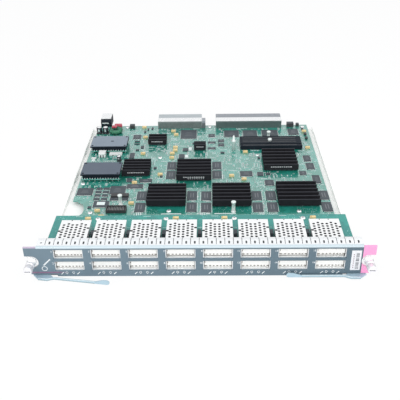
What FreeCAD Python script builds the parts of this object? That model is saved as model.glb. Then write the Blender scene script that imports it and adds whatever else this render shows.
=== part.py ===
"""A line card for a modular network switch, with two rows of eight ports for plug-in transceivers.

A painted faceplate covers a folded steel front frame. Behind it the ports sit above and below a small
port board. The main board lies on a sheet-metal carrier, and its rear edge holds the connectors that
meet the chassis. Two levers push the card out of its slot and two captive screws hold it in.

X runs right along the faceplate, Y runs back from the faceplate's front, and Z runs up from the
carrier's underside. All sizes are millimetres.
"""

import FreeCAD, Part
import math
import os

os.makedirs("parts", exist_ok=True)

# Carrier and boards, from the underside up
carrier_thick = 1.2
carrier_side = 5.4
carrier_bend = 0.9
spacer_height = 4.4
board_thick = 2.4
stack_height = 13.25

# Ports: two rows of columns, mirrored about the middle of the port board
columns = 8
window_width = 33.2
window_height = 12.6
window_lip = 1.0
column_gap = 8.3
row_gap = 3.4
cage_margin = 0.4
cage_depth = 57.2
cage_wall = 0.8
cover_drop = 0.35
cover_thick = 0.5
cover_lip = 2.4
cover_inset = 4.0
rear_step = 2.2
rear_step_width = 12.0
vent_columns = 5
vent_rows = 4
vent_side = 2.6
vent_margin = 3.6
vent_first = 15.0
vent_last = 6.0

# Port doors and the rods that they hang on
door_side_gap = 0.4
door_foot_gap = 0.35
door_band = 3.4
door_step = 1.0
door_thick = 0.45
rod_radius = 0.6
rod_clear = 0.05
rod_inset = 1.7

# Sockets at the back of each port
socket_width = 20.0
socket_depth = 7.0
socket_height = 7.4
socket_gap = 0.6

# Faceplate and front frame
face_thick = 1.6
face_foot = 0.3
top_margin = 3.85
side_margin = 14.0
ear_reach = 14.0
tab_inset = 4.5
frame_thick = 1.2
frame_drop = 0.2
frame_inset = 0.3
frame_flange = 14.8
bend_radius = 0.6

# Finger gasket along the top edge
gasket_inset = 0.4
gasket_thick = 0.35
gasket_lip = 1.8
gasket_step = 2.0
finger_count = 38
finger_slot = 0.7
finger_rise = 1.5
finger_start = 2.4
finger_length = 12.8

# Boards, from front to back
port_board_gap = 0.6
port_board_inset = 2.6
port_board_tail = 30.0
board_overlap = 18.0
main_depth = 313.0
main_inset = 10.0
corner_round = 8.0
tray_gap = 2.0
side_start = 25.2

# The main board's layout is drawn on a grid of cells, counted from the middle of its front edge
grid_across = 340
grid_deep = 313
corner_cells = (-152, 79)

# Ejector levers
pivot_inset = 2.0
pivot_setback = 3.6
pivot_radius = 2.0
pivot_clear = 0.05
pivot_head = 3.0
pivot_head_thick = 1.0
ear_margin = 3.0
lever_thick = 1.5
lever_head_gap = 0.1
lever_hub = 5.0
lever_reach = 72.0
lever_base = 16.4
lever_taper = 4.5
lever_arm = 2.9
lever_toe = 9.0
lever_corner = 1.0
lever_nose = 10.5
lever_neck = 17.5
lever_web = 12.0
lever_flange = 1.2
flange_drop = 0.7
paddle_width = 15.6
paddle_height = 6.4
slot_reach = 18.0
slot_clear = 0.5
left_lever_open = 9.0

# Captive screws
screw_inset = 6.7
screw_drop = 0.3
shank_radius = 2.0
screw_clear = 0.05
shank_tail = 5.0
spring_gap = 0.6
spring_wire = 0.6
spring_length = 7.0
spring_slack = 0.1
spring_turns = 3
spring_steps = 6
boss_edge = 0.4
boss_length = 5.6
flange_thick = 1.4
flange_edge = 1.6
notch_gap = 1.6
collar_wall = 1.95
collar_length = 1.4
collar_clear = 0.03
knob_gap = 0.7
knob_wall = 0.7
knob_head = 5.6
knob_flats = 16
skirt_gap = 5.1
driver_slot = 1.2
driver_depth = 1.5
ring_wall = 1.4
ring_thick = 0.8
groove_depth = 0.4

# Connectors along the rear edge
plane_overlap = 11.0
plane_head = 14.0
plane_tail = 18.0
plane_height = 12.8
plane_groove = 1.2
plane_left = (-72, 71)
plane_right = (22, 106)
key_cells = 6
power_cells = (-169, 20)
power_depth = 23.0
power_height = 14.0
power_step = 4.6

# Heatsinks in cells: left, front, width, depth, and how many fins
package_height = 2.2
package_margin = 3.0
sink_height = 8.6
sink_base = 2.0
fin_thick = 2.2
sinks = {
    "left_rear": (-112, 142, 39, 35, 5),
    "middle_rear": (-35, 128, 49, 48, 6),
    "left_front": (-71, 61, 51, 44, 6),
    "middle_front": (15, 60, 51, 46, 6),
    "right_front": (101, 60, 54, 49, 6),
    "right_rear": (89, 156, 49, 51, 6),
    "small_rear": (-83, 240, 28, 20, 3),
    "small_middle": (-12, 221, 18, 12, 3),
}

# Chips and other parts on the boards
memory_cells = (13, 22)
memory_gap = 1.6
chip_height = 1.3
capacitor_cells = (7, 4)
capacitor_height = 2.9
spacer_across = 6.0
screw_head_across = 6.4
screw_head_height = 1.8
post_across = 5.5
post_height = 16.0
post_tip = 8.0
tip_across = 2.4
stack_width = 60.0
stack_depth = 8.0
header_height = 4.5
core_height = 8.0

# Add-on board connector, in cells: left, front, width and depth
mezzanine_cells = (60, 224, 88, 34)
mezzanine_height = 6.5
mezzanine_groove = 2.0

# Power converters, in cells: left and width, then each one's front, and their depth
converter_cells = (-168, 55)
converter_fronts = {"front": 129, "rear": 215}
converter_deep = 36
converter_board = 1.6
converter_lift = 2.6
converter_core = 6.4
converter_plate = 1.4
converter_margin = 3.0
converter_pin = 1.4
plate_hole = 1.6

# Heights, worked out from the sizes above
main_low = carrier_thick + spacer_height
main_top = main_low + board_thick
board_low = main_top + stack_height
board_high = board_low + board_thick
board_mid_z = (board_low + board_high) / 2
row_offset = (window_height + row_gap) / 2
row_z = {"upper": board_mid_z + row_offset, "lower": board_mid_z - row_offset}
cover_top = row_z["upper"] + window_height / 2 - cover_drop
roof_inside = cover_top - cover_thick
face_height = row_z["upper"] + window_height / 2 + top_margin
frame_top = face_height - frame_drop
rod_z = {name: z + roof_inside - rod_inset - row_z["upper"] for name, z in row_z.items()}
door_drop = rod_z["upper"] - row_z["upper"] + window_height / 2 - window_lip - door_foot_gap
sink_low = main_top + package_height
lever_low = carrier_thick
lever_top = lever_low + lever_thick
screw_z = face_height / 2 - screw_drop

# Places across the card
cage_width = window_width + 2 * cage_margin
column_pitch = window_width + column_gap
column_x = [column_pitch * (i - (columns - 1) / 2) for i in range(columns)]
gap_x = [column_pitch * i for i in (-3, -1, 1, 3)]
frame_half = columns * column_pitch / 2 + side_margin
face_width = 2 * (frame_half + ear_reach)
opening_width = window_width - 2 * window_lip
opening_height = window_height - 2 * window_lip
frame_end = column_x[-1] + opening_width / 2
port_board_half = frame_half - port_board_inset
main_half = frame_half - main_inset
cell_x = 2 * main_half / grid_across
pivot_x = frame_half - pivot_inset
slot_start = pivot_x - slot_reach
screw_x = face_width / 2 - screw_inset

# Places from front to back
frame_back = face_thick + frame_thick
cage_back = frame_back + cage_depth
rod_back = frame_back + rod_inset
port_board_front = frame_back + port_board_gap
port_board_rear = cage_back + port_board_tail
main_front = port_board_rear - board_overlap
main_rear = main_front + main_depth
cell_y = main_depth / grid_deep
overlap_middle = port_board_rear - board_overlap / 2
carrier_rear = main_rear - tray_gap
pivot_back = frame_back + pivot_setback
lever_shaft = lever_base - lever_taper
plane_front = main_rear - plane_overlap
plane_split = plane_front + plane_head
plane_rear = plane_split + plane_tail

# The captive screw, from its shank outwards and from the ferrule forwards
spring_radius = shank_radius + spring_gap + spring_wire / 2
boss_radius = spring_radius + spring_wire / 2 + boss_edge
knob_radius = boss_radius + knob_gap + knob_wall
flange_radius = knob_radius + flange_edge
notch_radius = flange_radius + notch_gap
collar_radius = shank_radius + screw_clear + collar_wall
ring_radius = shank_radius + ring_wall
ferrule_front = face_thick - flange_thick
boss_front = ferrule_front - boss_length
knob_inside = boss_front - spring_length
knob_front = knob_inside - knob_head
skirt_end = ferrule_front - skirt_gap
collar_back = frame_back + collar_length

# The part's own origin lies under the middle of its length
lever_swing = lever_reach * math.sin(math.radians(left_lever_open)) + lever_shaft - pivot_back
middle_y = (plane_rear - max(-knob_front, lever_swing)) / 2


def point(x, y, z):
    return FreeCAD.Vector(x, y, z)


def block(x0, x1, y0, y1, z0, z1):
    """A box between two corners."""
    return Part.makeBox(x1 - x0, y1 - y0, z1 - z0, point(x0, y0, z0))


def prism(points, along, start, end):
    """An outline drawn square to one axis and pushed along it; its points keep X, Y, Z order."""
    place = {
        "x": lambda a, b: point(start, a, b),
        "y": lambda a, b: point(a, start, b),
        "z": lambda a, b: point(a, b, start),
    }[along]
    reach = end - start
    push = {"x": point(reach, 0, 0), "y": point(0, reach, 0), "z": point(0, 0, reach)}[along]
    corners = [place(a, b) for a, b in points]
    return Part.Face(Part.makePolygon(corners + corners[:1])).extrude(push)


def polygon(sides, radius, a, b):
    """The corners of a regular outline round a point."""
    turns = [2 * math.pi * (i + 0.5) / sides for i in range(sides)]
    return [(a + radius * math.cos(t), b + radius * math.sin(t)) for t in turns]


def post(sides, across, x, y, z0, z1):
    """An upright post, given by the width across its flats."""
    return prism(polygon(sides, across / 2 / math.cos(math.pi / sides), x, y), "z", z0, z1)


def bar(sides, radius, y0, y1):
    """A bar of flats on the captive screw's axis."""
    return prism(polygon(sides, radius, screw_x, screw_z), "y", y0, y1)


def rod(radius, y0, y1):
    """A round bar on the captive screw's axis."""
    return Part.makeCylinder(radius, y1 - y0, point(screw_x, y0, screw_z), point(0, 1, 0))


def mirrored(shape):
    """The same shape on the other side of the card."""
    return shape.mirror(point(0, 0, 0), point(1, 0, 0))


def both_sides(shape):
    return [shape, mirrored(shape)]


def on_board(cells, z0, z1):
    """A block on the main board, given in cells by its left edge, front edge, width and depth."""
    x, y, w, d = cells
    return block(x * cell_x, (x + w) * cell_x, main_front + y * cell_y, main_front + (y + d) * cell_y, z0, z1)


def cell(x, y):
    """A place on the main board, from its cell."""
    return x * cell_x, main_front + y * cell_y


def save(name, shapes):
    """Write one sub-part, with its solids in the part's own frame."""
    solids = [solid for shape in shapes for solid in shape.Solids]
    whole = solids[0] if len(solids) == 1 else Part.makeCompound(solids)
    whole.translate(point(0, -middle_y, 0))
    whole.exportStep("parts/" + name + ".step")


def windows():
    """Cutters for the port windows of both rows."""
    w = window_width / 2
    h = window_height / 2
    return [block(x - w, x + w, -1, face_thick + 1, z - h, z + h) for z in row_z.values() for x in column_x]


def faceplate():
    half = face_width / 2
    back = face_thick + 1
    plate = block(-half, half, 0, face_thick, face_foot, face_height)
    side_cutters = [
        rod(notch_radius, -1, back),
        block(screw_x, half + 1, -1, back, screw_z - notch_radius, screw_z + notch_radius),
        block(half - tab_inset, half + 1, -1, back, -1, screw_z),
        block(slot_start, half + 1, -1, back, -1, lever_top + slot_clear),
    ]
    cutters = windows()
    for cutter in side_cutters:
        cutters += both_sides(cutter)
    return plate.cut(cutters)


def in_frame(x0, x1, z0, z1):
    """A flat piece of the front frame's wall."""
    return block(x0, x1, face_thick, frame_back, z0, z1)


def front_frame():
    """The frame behind the faceplate: a folded top rail, two flat rails and two end plates, edge to edge."""
    half = face_width / 2 - frame_inset
    h = opening_height / 2
    rail_low = row_z["upper"] + h
    outer = bend_radius + frame_thick
    bend_y = face_thick + outer
    bend_z = frame_top - outer
    axis = point(1, 0, 0)
    bend = Part.makeCylinder(outer, 2 * frame_half, point(-frame_half, bend_y, bend_z), axis)
    hollow = Part.makeCylinder(bend_radius, 2 * frame_half, point(-frame_half, bend_y, bend_z), axis)
    quarter = block(-frame_half, frame_half, face_thick, bend_y, bend_z, frame_top)
    flange_end = frame_back + frame_flange
    flange = block(-frame_half, frame_half, bend_y, flange_end, frame_top - frame_thick, frame_top)
    ears = both_sides(in_frame(frame_half, half, bend_z, frame_top))
    top = in_frame(-half, half, rail_low, bend_z)
    top = top.fuse(ears + [bend.common(quarter).cut(hollow), flange]).removeSplitter()
    middle = in_frame(-frame_end, frame_end, row_z["lower"] + h, row_z["upper"] - h)
    bottom = in_frame(-frame_end, frame_end, 0, row_z["lower"] - h)
    lever_slot = block(slot_start, half + 1, 0, frame_back + 1, -1, lever_top + slot_clear)
    end = in_frame(frame_end, half, 0, rail_low)
    end = end.cut([
        lever_slot,
        bar(12, collar_radius + collar_clear, face_thick - 1, frame_back + 1),
        block(face_width / 2 - tab_inset, half + 1, 0, frame_back + 1, -1, screw_z - notch_radius),
    ])
    return [top, middle, bottom.cut(both_sides(lever_slot))] + both_sides(end)


def frame_dividers():
    """The short upright pieces of the front frame, between each row's windows."""
    h = opening_height / 2
    pieces = []
    for z in row_z.values():
        for x in column_x[1:]:
            edge = x - opening_width / 2
            pieces.append(in_frame(edge - column_pitch + opening_width, edge, z - h, z + h))
    return pieces


def finger_gasket():
    """A springy strip clipped over the top edge, with a row of raised fingers."""
    half = frame_half - gasket_inset
    low = face_height
    rest = frame_top
    top = rest + finger_rise
    t = gasket_thick
    start = gasket_step + finger_start
    end = start + finger_length
    middle = (start + end) / 2
    profile = [
        (-t, low - gasket_lip),
        (-t, low + t),
        (gasket_step, low + t),
        (gasket_step + t, rest + t),
        (start, rest + t),
        (middle, top + t),
        (end, rest + t),
        (end, rest),
        (middle, top),
        (start, rest),
        (gasket_step, rest),
        (gasket_step - t, low),
        (0, low),
        (0, low - gasket_lip),
    ]
    strip = prism(profile, "x", -half, half)
    pitch = 2 * half / finger_count
    slots = []
    for i in range(1, finger_count):
        x = -half + i * pitch
        slots.append(block(x - finger_slot / 2, x + finger_slot / 2, start, end + 1, rest - 1, top + 1))
    return strip.cut(slots)


def carrier():
    """The sheet-metal tray: a floor with low sides, and ears at the front that hold the levers."""
    ear_width = lever_hub - pivot_inset + ear_margin
    ear_end = pivot_back + lever_hub + ear_margin
    floor = block(-frame_half, frame_half, frame_back, carrier_rear, 0, carrier_thick)
    side = block(
        frame_half - carrier_thick, frame_half, frame_back + side_start, carrier_rear, 0, carrier_side
    )
    ear = block(frame_half, frame_half + ear_width, frame_back, ear_end, 0, carrier_thick)
    tray = floor.fuse(both_sides(side) + both_sides(ear)).removeSplitter()
    return tray.makeFillet(carrier_bend, [edge for edge in tray.Edges if is_side_fold(edge)])


def is_side_fold(edge):
    """True for the long bottom edges, where the carrier's sides are folded up."""
    box = edge.BoundBox
    at_side = abs(abs(box.XMin) - frame_half) < 0.01 and box.XLength < 0.01
    return at_side and box.ZMax < 0.01 and box.YLength > carrier_rear / 2


def main_board():
    """The main board, with its front left corner cut away and rounded."""
    x, y = cell(*corner_cells)
    board = block(-main_half, main_half, main_front, main_rear, main_low, main_top)
    board = board.cut(block(-main_half - 1, x, main_front - 1, y, main_low - 1, main_top + 1))
    return board.makeFillet(corner_round, [edge for edge in board.Edges if is_upright_at(edge, x, y)])


def is_upright_at(edge, x, y):
    box = edge.BoundBox
    return abs(box.XMin - x) < 0.01 and abs(box.YMin - y) < 0.01 and box.XLength < 0.01 and box.YLength < 0.01


def port_board():
    half = port_board_half
    return block(-half, half, port_board_front, port_board_rear, board_low, board_high)


def port_cage(row, x):
    """The walls round a port; the upper ones are open on top, where a cover fits."""
    half = cage_width / 2
    inner = half - cage_wall
    if row == "upper":
        low, high = board_high, roof_inside
        floor = low - 1
    else:
        low, high = board_mid_z - (cover_top - board_mid_z), board_low
        floor = low + cage_wall
    shell = block(x - half, x + half, frame_back, cage_back, low, high)
    hollow = block(x - inner, x + inner, frame_back - 1, cage_back - cage_wall, floor, high + 1)
    z = rod_z[row]
    room = rod_radius + rod_clear
    rod_hole = block(x - half - 1, x + half + 1, rod_back - room, rod_back + room, z - room, z + room)
    return shell.cut([hollow, rod_hole])


def cage_cover(x):
    """A perforated lid with turned-down sides, stepped at its rear edge."""
    half = cage_width / 2 + cover_thick
    low = roof_inside - cover_lip
    high = cover_top + 1
    front = frame_back + cover_inset
    back = cage_back + cover_thick
    inside = half - cover_thick
    step = rear_step_width / 2
    lid = block(x - half, x + half, front, back, low, cover_top)
    cutters = [
        block(x - inside, x + inside, front - 1, back + 1, low - 1, roof_inside),
        block(x - step, x + step, back - rear_step, back + 1, low, high),
    ]
    across = (cage_width - 2 * vent_margin - vent_side) / (vent_columns - 1)
    first = front + vent_first
    along = (back - rear_step - vent_last - vent_side - first) / (vent_rows - 0.5)
    for i in range(vent_columns):
        vent_x = x - cage_width / 2 + vent_margin + i * across
        for j in range(vent_rows):
            y = first + along * (j + (i % 2) / 2)
            cutters.append(block(vent_x, vent_x + vent_side, y, y + vent_side, low, high))
    return lid.cut(cutters)


def hinge_rod(row):
    reach = column_x[-1] + cage_width / 2
    return Part.makeCylinder(rod_radius, 2 * reach, point(-reach, rod_back, rod_z[row]), point(1, 0, 0))


def port_door(row, x):
    """A flap whose top edge is hemmed round the hinge rod; its lower band steps back."""
    inner = rod_radius + rod_clear
    outer = inner + door_thick
    t = door_thick
    step = door_band - door_drop
    profile = [
        (-outer, step),
        (-outer, outer),
        (outer, outer),
        (outer, -outer),
        (-inner + t, -outer),
        (-inner + t, -inner),
        (inner, -inner),
        (inner, inner),
        (-inner, inner),
        (-inner, step + t),
        (-inner + door_step, step),
        (-inner + door_step, -door_drop),
        (-outer + door_step, -door_drop),
        (-outer + door_step, step - t),
    ]
    half = window_width / 2 - window_lip - door_side_gap
    return prism([(rod_back + a, rod_z[row] + b) for a, b in profile], "x", x - half, x + half)


def port_socket(row, x):
    """The connector that a plugged-in transceiver meets at the back of its port."""
    half = socket_width / 2
    back = cage_back - cage_wall - socket_gap
    low = board_high if row == "upper" else board_low - socket_height
    high = low + socket_height
    return block(x - half, x + half, back - socket_depth, back, low, high)


def lever():
    """The right lever, closed: a flat base, a thin arm with a turned-down front edge, and an upright tab."""

    def at(across, forward):
        return (pivot_x - across, pivot_back - forward)

    f = lever_flange
    back = lever_shaft - lever_arm
    outline = [
        at(-lever_toe, back),
        at(-lever_corner, lever_base),
        at(lever_nose, lever_base),
        at(lever_neck, lever_shaft),
        at(lever_reach, lever_shaft),
        at(lever_reach, back),
        at(lever_web, back),
        at(lever_hub, 0),
        at(-lever_hub, 0),
    ]
    plate = prism(outline, "z", lever_low, lever_top)
    hub = Part.makeCylinder(lever_hub, lever_thick, point(pivot_x, pivot_back, lever_low))
    edge = [
        at(-lever_corner, lever_base),
        at(lever_nose, lever_base),
        at(lever_neck, lever_shaft),
        at(lever_reach, lever_shaft),
        at(lever_reach, lever_shaft - f),
        at(lever_neck - f / 3, lever_shaft - f),
        at(lever_nose - f / 3, lever_base - f),
        at(-lever_corner - f / 2, lever_base - f),
    ]
    foot = lever_low - flange_drop
    flange = prism(edge, "z", foot, lever_low)
    radius = paddle_height / 2
    front = pivot_back - lever_shaft
    first = pivot_x - lever_reach + radius
    last = first - paddle_width + 2 * radius
    tab = [block(last, first, front, front + f, foot, foot + paddle_height)]
    for x in (first, last):
        tab.append(prism(polygon(16, radius, x, foot + radius), "y", front, front + f))
    hole = Part.makeCylinder(
        pivot_radius + pivot_clear, lever_thick + 2, point(pivot_x, pivot_back, lever_low - 1)
    )
    return plate.fuse([hub, flange] + tab).cut(hole).removeSplitter()


def lever_pivot():
    """A shouldered rivet that holds a lever on the carrier's ear."""
    head_low = lever_top + lever_head_gap
    length = head_low - carrier_thick
    shank = Part.makeCylinder(pivot_radius, length, point(pivot_x, pivot_back, carrier_thick))
    head = post(10, 2 * pivot_head, pivot_x, pivot_back, head_low, head_low + pivot_head_thick)
    return shank.fuse(head)


def ferrule():
    """The pressed-in collar that guides a captive screw."""
    flange = bar(16, flange_radius, ferrule_front, face_thick)
    boss = bar(12, boss_radius, boss_front, ferrule_front)
    collar = bar(12, collar_radius, face_thick, collar_back)
    bore = rod(shank_radius + screw_clear, boss_front - 1, collar_back + 1)
    return flange.fuse([boss, collar]).cut(bore)


def captive_screw():
    """A knob with a hollow skirt over the spring, on a shank that passes through the ferrule."""
    knob = bar(knob_flats, knob_radius, knob_front, skirt_end)
    hollow = bar(10, knob_radius - knob_wall, knob_inside, skirt_end + 1)
    shank = rod(shank_radius, knob_inside, collar_back + shank_tail)
    reach = knob_radius + 1
    half = driver_slot / 2
    floor = knob_front + driver_depth
    slot = block(screw_x - reach, screw_x + reach, knob_front - 1, floor, screw_z - half, screw_z + half)
    ring_end = collar_back + ring_thick
    groove = rod(shank_radius + 1, collar_back, ring_end).cut(
        bar(12, shank_radius - groove_depth, collar_back - 1, ring_end + 1)
    )
    return knob.cut(hollow).fuse(shank).cut([slot, groove])


def retaining_ring():
    """A clip in the shank's groove, open on one side."""
    inner = shank_radius - groove_depth + screw_clear
    end = collar_back + ring_thick
    ring = bar(12, ring_radius, collar_back, end).cut(rod(inner, collar_back - 1, end + 1))
    low = screw_z - ring_radius - 1
    return ring.cut(block(screw_x - inner, screw_x + inner, collar_back - 1, end + 1, low, screw_z))


def screw_spring():
    """The coil spring inside the knob, between the ferrule's boss and the knob's head."""
    half = spring_wire / 2
    length = spring_length - spring_wire - spring_slack
    steps = spring_steps * spring_turns
    path = []
    for i in range(steps + 1):
        turn = math.radians(360 * i / spring_steps)
        x = screw_x + spring_radius * math.cos(turn)
        z = screw_z + spring_radius * math.sin(turn)
        path.append(point(x, knob_inside + half + length * i / steps, z))
    first = path[0]
    corners = [
        first + point(-half, -half, 0),
        first + point(half, -half, 0),
        first + point(half, half, 0),
        first + point(-half, half, 0),
    ]
    section = Part.makePolygon(corners + corners[:1])
    return Part.makePolygon(path).makePipeShell([section], True, False, 1)


def heatsink(name):
    """An extruded heatsink: a base with straight fins that run from left to right."""
    x, y, width, depth, fins = sinks[name]
    left, front = cell(x, y)
    right, rear = cell(x + width, y + depth)
    base = sink_low + sink_base
    top = sink_low + sink_height
    profile = [(front, sink_low), (front, top)]
    pitch = (rear - front - fin_thick) / (fins - 1)
    for i in range(fins - 1):
        start = front + i * pitch + fin_thick
        end = front + (i + 1) * pitch
        profile += [(start, top), (start, base), (end, base), (end, top)]
    profile += [(rear, top), (rear, sink_low)]
    return prism(profile, "x", left, right)


def package(name):
    """The chip package that a heatsink is glued to."""
    x, y, width, depth, fins = sinks[name]
    left, front = cell(x, y)
    right, rear = cell(x + width, y + depth)
    m = package_margin
    return block(left + m, right - m, front + m, rear - m, main_top, sink_low)


def memory_chips():
    """Memory chips in pairs beside four of the heatsinks."""
    chips = []
    fronts_of = {
        "left_front": (17, -12),
        "middle_front": (17, -12),
        "right_front": (17, -12),
        "middle_rear": (34, 7),
    }
    width, depth = memory_cells
    for name, fronts in fronts_of.items():
        x, y, sink_width, sink_depth, fins = sinks[name]
        for left in (x - memory_gap - width, x + sink_width + memory_gap):
            for front in fronts:
                chips.append(on_board((left, y + front, width, depth), main_top, main_top + chip_height))
    return chips


def logic_chips():
    places = [
        (35, 268, 23, 23),
        (65, 269, 22, 22),
        (95, 270, 25, 21),
        (-34, 263, 25, 31),
        (137, 274, 16, 21),
        (150, 184, 10, 18),
        (151, 160, 11, 18),
        (155, 120, 10, 22),
        (55, 141, 17, 14),
        (79, 142, 8, 10),
        (139, 144, 9, 10),
        (88, 115, 12, 14),
        (-168, 92, 21, 18),
        (-141, 61, 20, 15),
        (-124, 94, 21, 21),
        (-121, 78, 24, 13),
        (-109, 263, 12, 14),
        (25, 250, 9, 8),
        (25, 236, 9, 8),
        (9, 226, 12, 5),
        (9, 246, 12, 5),
        (10, 268, 10, 10),
        (-86, 126, 17, 8),
        (-104, 127, 7, 10),
        (-102, 109, 22, 11),
        (-108, 198, 7, 16),
        (-29, 220, 8, 9),
        (-34, 197, 8, 12),
    ]
    for x in (-143, -133):
        for i in range(4):
            places.append((x, 79 + 9 * i, 8, 5))
    return [on_board(cells, main_top, main_top + chip_height) for cells in places]


def tantalum_capacitors():
    """Small moulded capacitors on both boards, each placed by its left front corner."""
    w, d = capacitor_cells
    on_main = [
        (-92, 210), (-93, 266), (-98, 303), (-50, 288), (-45, 275), (-44, 230), (-44, 220), (-48, 210),
        (-48, 196), (-137, 50), (-130, 36), (-95, 68), (62, 213), (56, 130), (-96, 122), (-62, 145),
        (39, 140), (157, 226), (159, 284),
    ]
    shapes = [on_board((x, y, w, d), main_top, main_top + capacitor_height) for x, y in on_main]
    near_screws = [(gap_x[0], -1), (gap_x[1], 1), (gap_x[2], -1), (gap_x[3], 1)]
    for x, side in near_screws:
        middle = x + side * 2 * spacer_across
        left = middle - w / 2
        front = overlap_middle - d / 2
        shapes.append(block(left, left + w, front, front + d, board_high, board_high + capacitor_height))
    return shapes


screw_cells = [
    (-164, 123), (-62, 199), (-41, 51), (83, 205), (126, 49), (-142, 48), (162, 304), (12, 306), (-122, 306),
]


def board_spacers():
    """Short hexagonal studs between the carrier and the main board, one under each screw."""
    return [post(6, spacer_across, *cell(x, y), carrier_thick, main_low) for x, y in screw_cells]


def board_screws():
    """Screw heads on the main board and, in the gaps between the cages, on the port board."""
    high = screw_head_height
    heads = [post(6, screw_head_across, *cell(x, y), main_top, main_top + high) for x, y in screw_cells]
    for x in gap_x:
        heads.append(post(6, screw_head_across, x, overlap_middle, board_high, board_high + high))
    return heads


def port_board_spacers():
    """The pillars that hold the port board above the main board."""
    return [post(6, spacer_across, x, overlap_middle, main_top, board_low) for x in gap_x]


def stack_connector():
    """The connector between the main board and the port board."""
    half = stack_width / 2
    front = overlap_middle - stack_depth / 2
    return block(-half, half, front, front + stack_depth, main_top, board_low)


def mezzanine_connector():
    """A long low connector for an add-on board, with a groove along its top."""
    x, y, width, depth = mezzanine_cells
    left, front = cell(x, y)
    right, rear = cell(x + width, y + depth)
    low = main_top
    top = low + mezzanine_height
    g = mezzanine_groove
    profile = [
        (front, low), (front, top), (front + 3 * g, top), (front + 3 * g, top - g),
        (front + 4 * g, top - g), (front + 4 * g, top), (rear, top), (rear, low),
    ]
    return prism(profile, "x", left, right)


def mezzanine_posts():
    """Posts that would hold the add-on board, and its tall guide pin."""
    x, y, width, depth = mezzanine_cells
    top = main_top + post_height
    on_block = main_top + mezzanine_height
    short = post_height / 4
    middle = x + width / 2
    posts = [
        post(6, post_across, *cell(-105, 67), main_top, top),
        post(6, post_across, *cell(42, 49), main_top, top),
        post(6, post_across, *cell(middle, y + depth / 2), on_block, on_block + short),
        post(6, post_across, *cell(middle, y + depth + 6), main_top, top - short),
    ]
    pin = cell(x - 12, y)
    tip = post(6, tip_across, *pin, top, top + post_tip)
    return posts + [post(6, post_across, *pin, main_top, top).fuse(tip)]


def plane_connector(cells):
    """A block of chassis connectors: a tall front housing and a lower mating part with two grooves."""
    x, width = cells
    top = main_top + plane_height
    g = plane_groove
    rear_top = top - g
    low = main_top
    profile = [(plane_front, low), (plane_front, top), (plane_split, top), (plane_split, rear_top)]
    for share in (1 / 3, 2 / 3):
        y = plane_split + plane_tail * share
        profile += [(y, rear_top), (y, rear_top - g), (y + g, rear_top - g), (y + g, rear_top)]
    profile += [(plane_rear, rear_top), (plane_rear, low)]
    return prism(profile, "x", x * cell_x, (x + width) * cell_x)


def left_plane_connector():
    """The left group, with a key block at its right end."""
    x = sum(plane_left)
    top = main_top + plane_height
    key = block(x * cell_x, (x + key_cells) * cell_x, plane_front, plane_split, main_top, top)
    return plane_connector(plane_left).fuse(key)


def power_connector():
    """The power inlet at the rear left corner, with a sloped front."""
    x, width = power_cells
    low = main_top
    top = low + power_height
    front = plane_rear - power_depth
    step = power_step
    profile = [
        (front, low), (front, top - step), (front + step, top), (plane_rear, top), (plane_rear, low),
    ]
    return prism(profile, "x", x * cell_x, (x + width) * cell_x)


def power_converter(which):
    """A brick converter: a small board on pins, a potted core, and a metal plate with corner holes."""
    left, width = converter_cells
    x0, y0 = cell(left, converter_fronts[which])
    x1, y1 = cell(left + width, converter_fronts[which] + converter_deep)
    board_z = main_top + converter_lift
    core_z = board_z + converter_board
    plate_z = core_z + converter_core
    top = plate_z + converter_plate
    m = converter_margin
    board = block(x0, x1, y0, y1, board_z, core_z)
    core = block(x0 + m, x1 - m, y0 + m, y1 - m, core_z, plate_z)
    plate = block(x0, x1, y0, y1, plate_z, top)
    hole = plate_hole / 2
    pin = converter_pin / 2
    holes = []
    pins = []
    for x in (x0 + m, x1 - m):
        for y in (y0 + m, y1 - m):
            holes.append(block(x - hole, x + hole, y - hole, y + hole, plate_z - 1, top + 1))
            pins.append(block(x - pin, x + pin, y - pin, y + pin, main_top, board_z))
    return [board, core, plate.cut(holes)] + pins


def filter_parts():
    """The relay, the blocks and the film capacitor of the power input; last comes each one's height."""
    sizes = [
        (-154, 201, 10, 12, 7.0),
        (-139, 207, 19, 8, 3.0),
        (-164, 196, 7, 4, 2.0),
        (-150, 304, 19, 7, 11.0),
        (-118, 302, 8, 7, 6.0),
        (137, 304, 11, 8, 6.5),
        (152, 306, 5, 6, 4.5),
        (161, 273, 4, 6, 3.0),
        (161, 258, 4, 6, 3.0),
    ]
    return [on_board((x, y, w, d), main_top, main_top + h) for x, y, w, d, h in sizes]


def can_capacitors():
    cans = [(-165, 287, 9.2, 10.5), (-155, 287, 9.2, 10.5), (-122, 191, 6.6, 8.0)]
    return [post(16, across, *cell(x, y), main_top, main_top + high) for x, y, across, high in cans]


def toroid_inductor():
    """A wound ring core lying flat on the board; each flat stands for a turn of its wire."""
    place = cell(-139, 288)
    top = main_top + core_height
    return post(24, 21.0, *place, main_top, top).cut(post(12, 8.0, *place, main_top - 1, top + 1))


save("faceplate", [faceplate()])
save("front_frame", front_frame())
save("frame_dividers", frame_dividers())
save("finger_gasket", [finger_gasket()])
save("carrier_tray", [carrier()])
save("main_board", [main_board()])
save("port_board", [port_board()])
for row_name in row_z:
    save(row_name + "_port_cages", [port_cage(row_name, x) for x in column_x])
    save(row_name + "_port_sockets", [port_socket(row_name, x) for x in column_x])
    save(row_name + "_hinge_rod", [hinge_rod(row_name)])
    for number, x in enumerate(column_x, start=1):
        save(row_name + "_door_" + str(number), [port_door(row_name, x)])
save("cage_covers", [cage_cover(x) for x in column_x])
save("right_lever", [lever()])
opened = mirrored(lever())
opened.rotate(point(-pivot_x, pivot_back, 0), point(0, 0, -1), left_lever_open)
save("left_lever", [opened])
save("lever_pivots", both_sides(lever_pivot()))
save("screw_ferrules", both_sides(ferrule()))
save("right_captive_screw", [captive_screw()])
save("left_captive_screw", [mirrored(captive_screw())])
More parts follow.
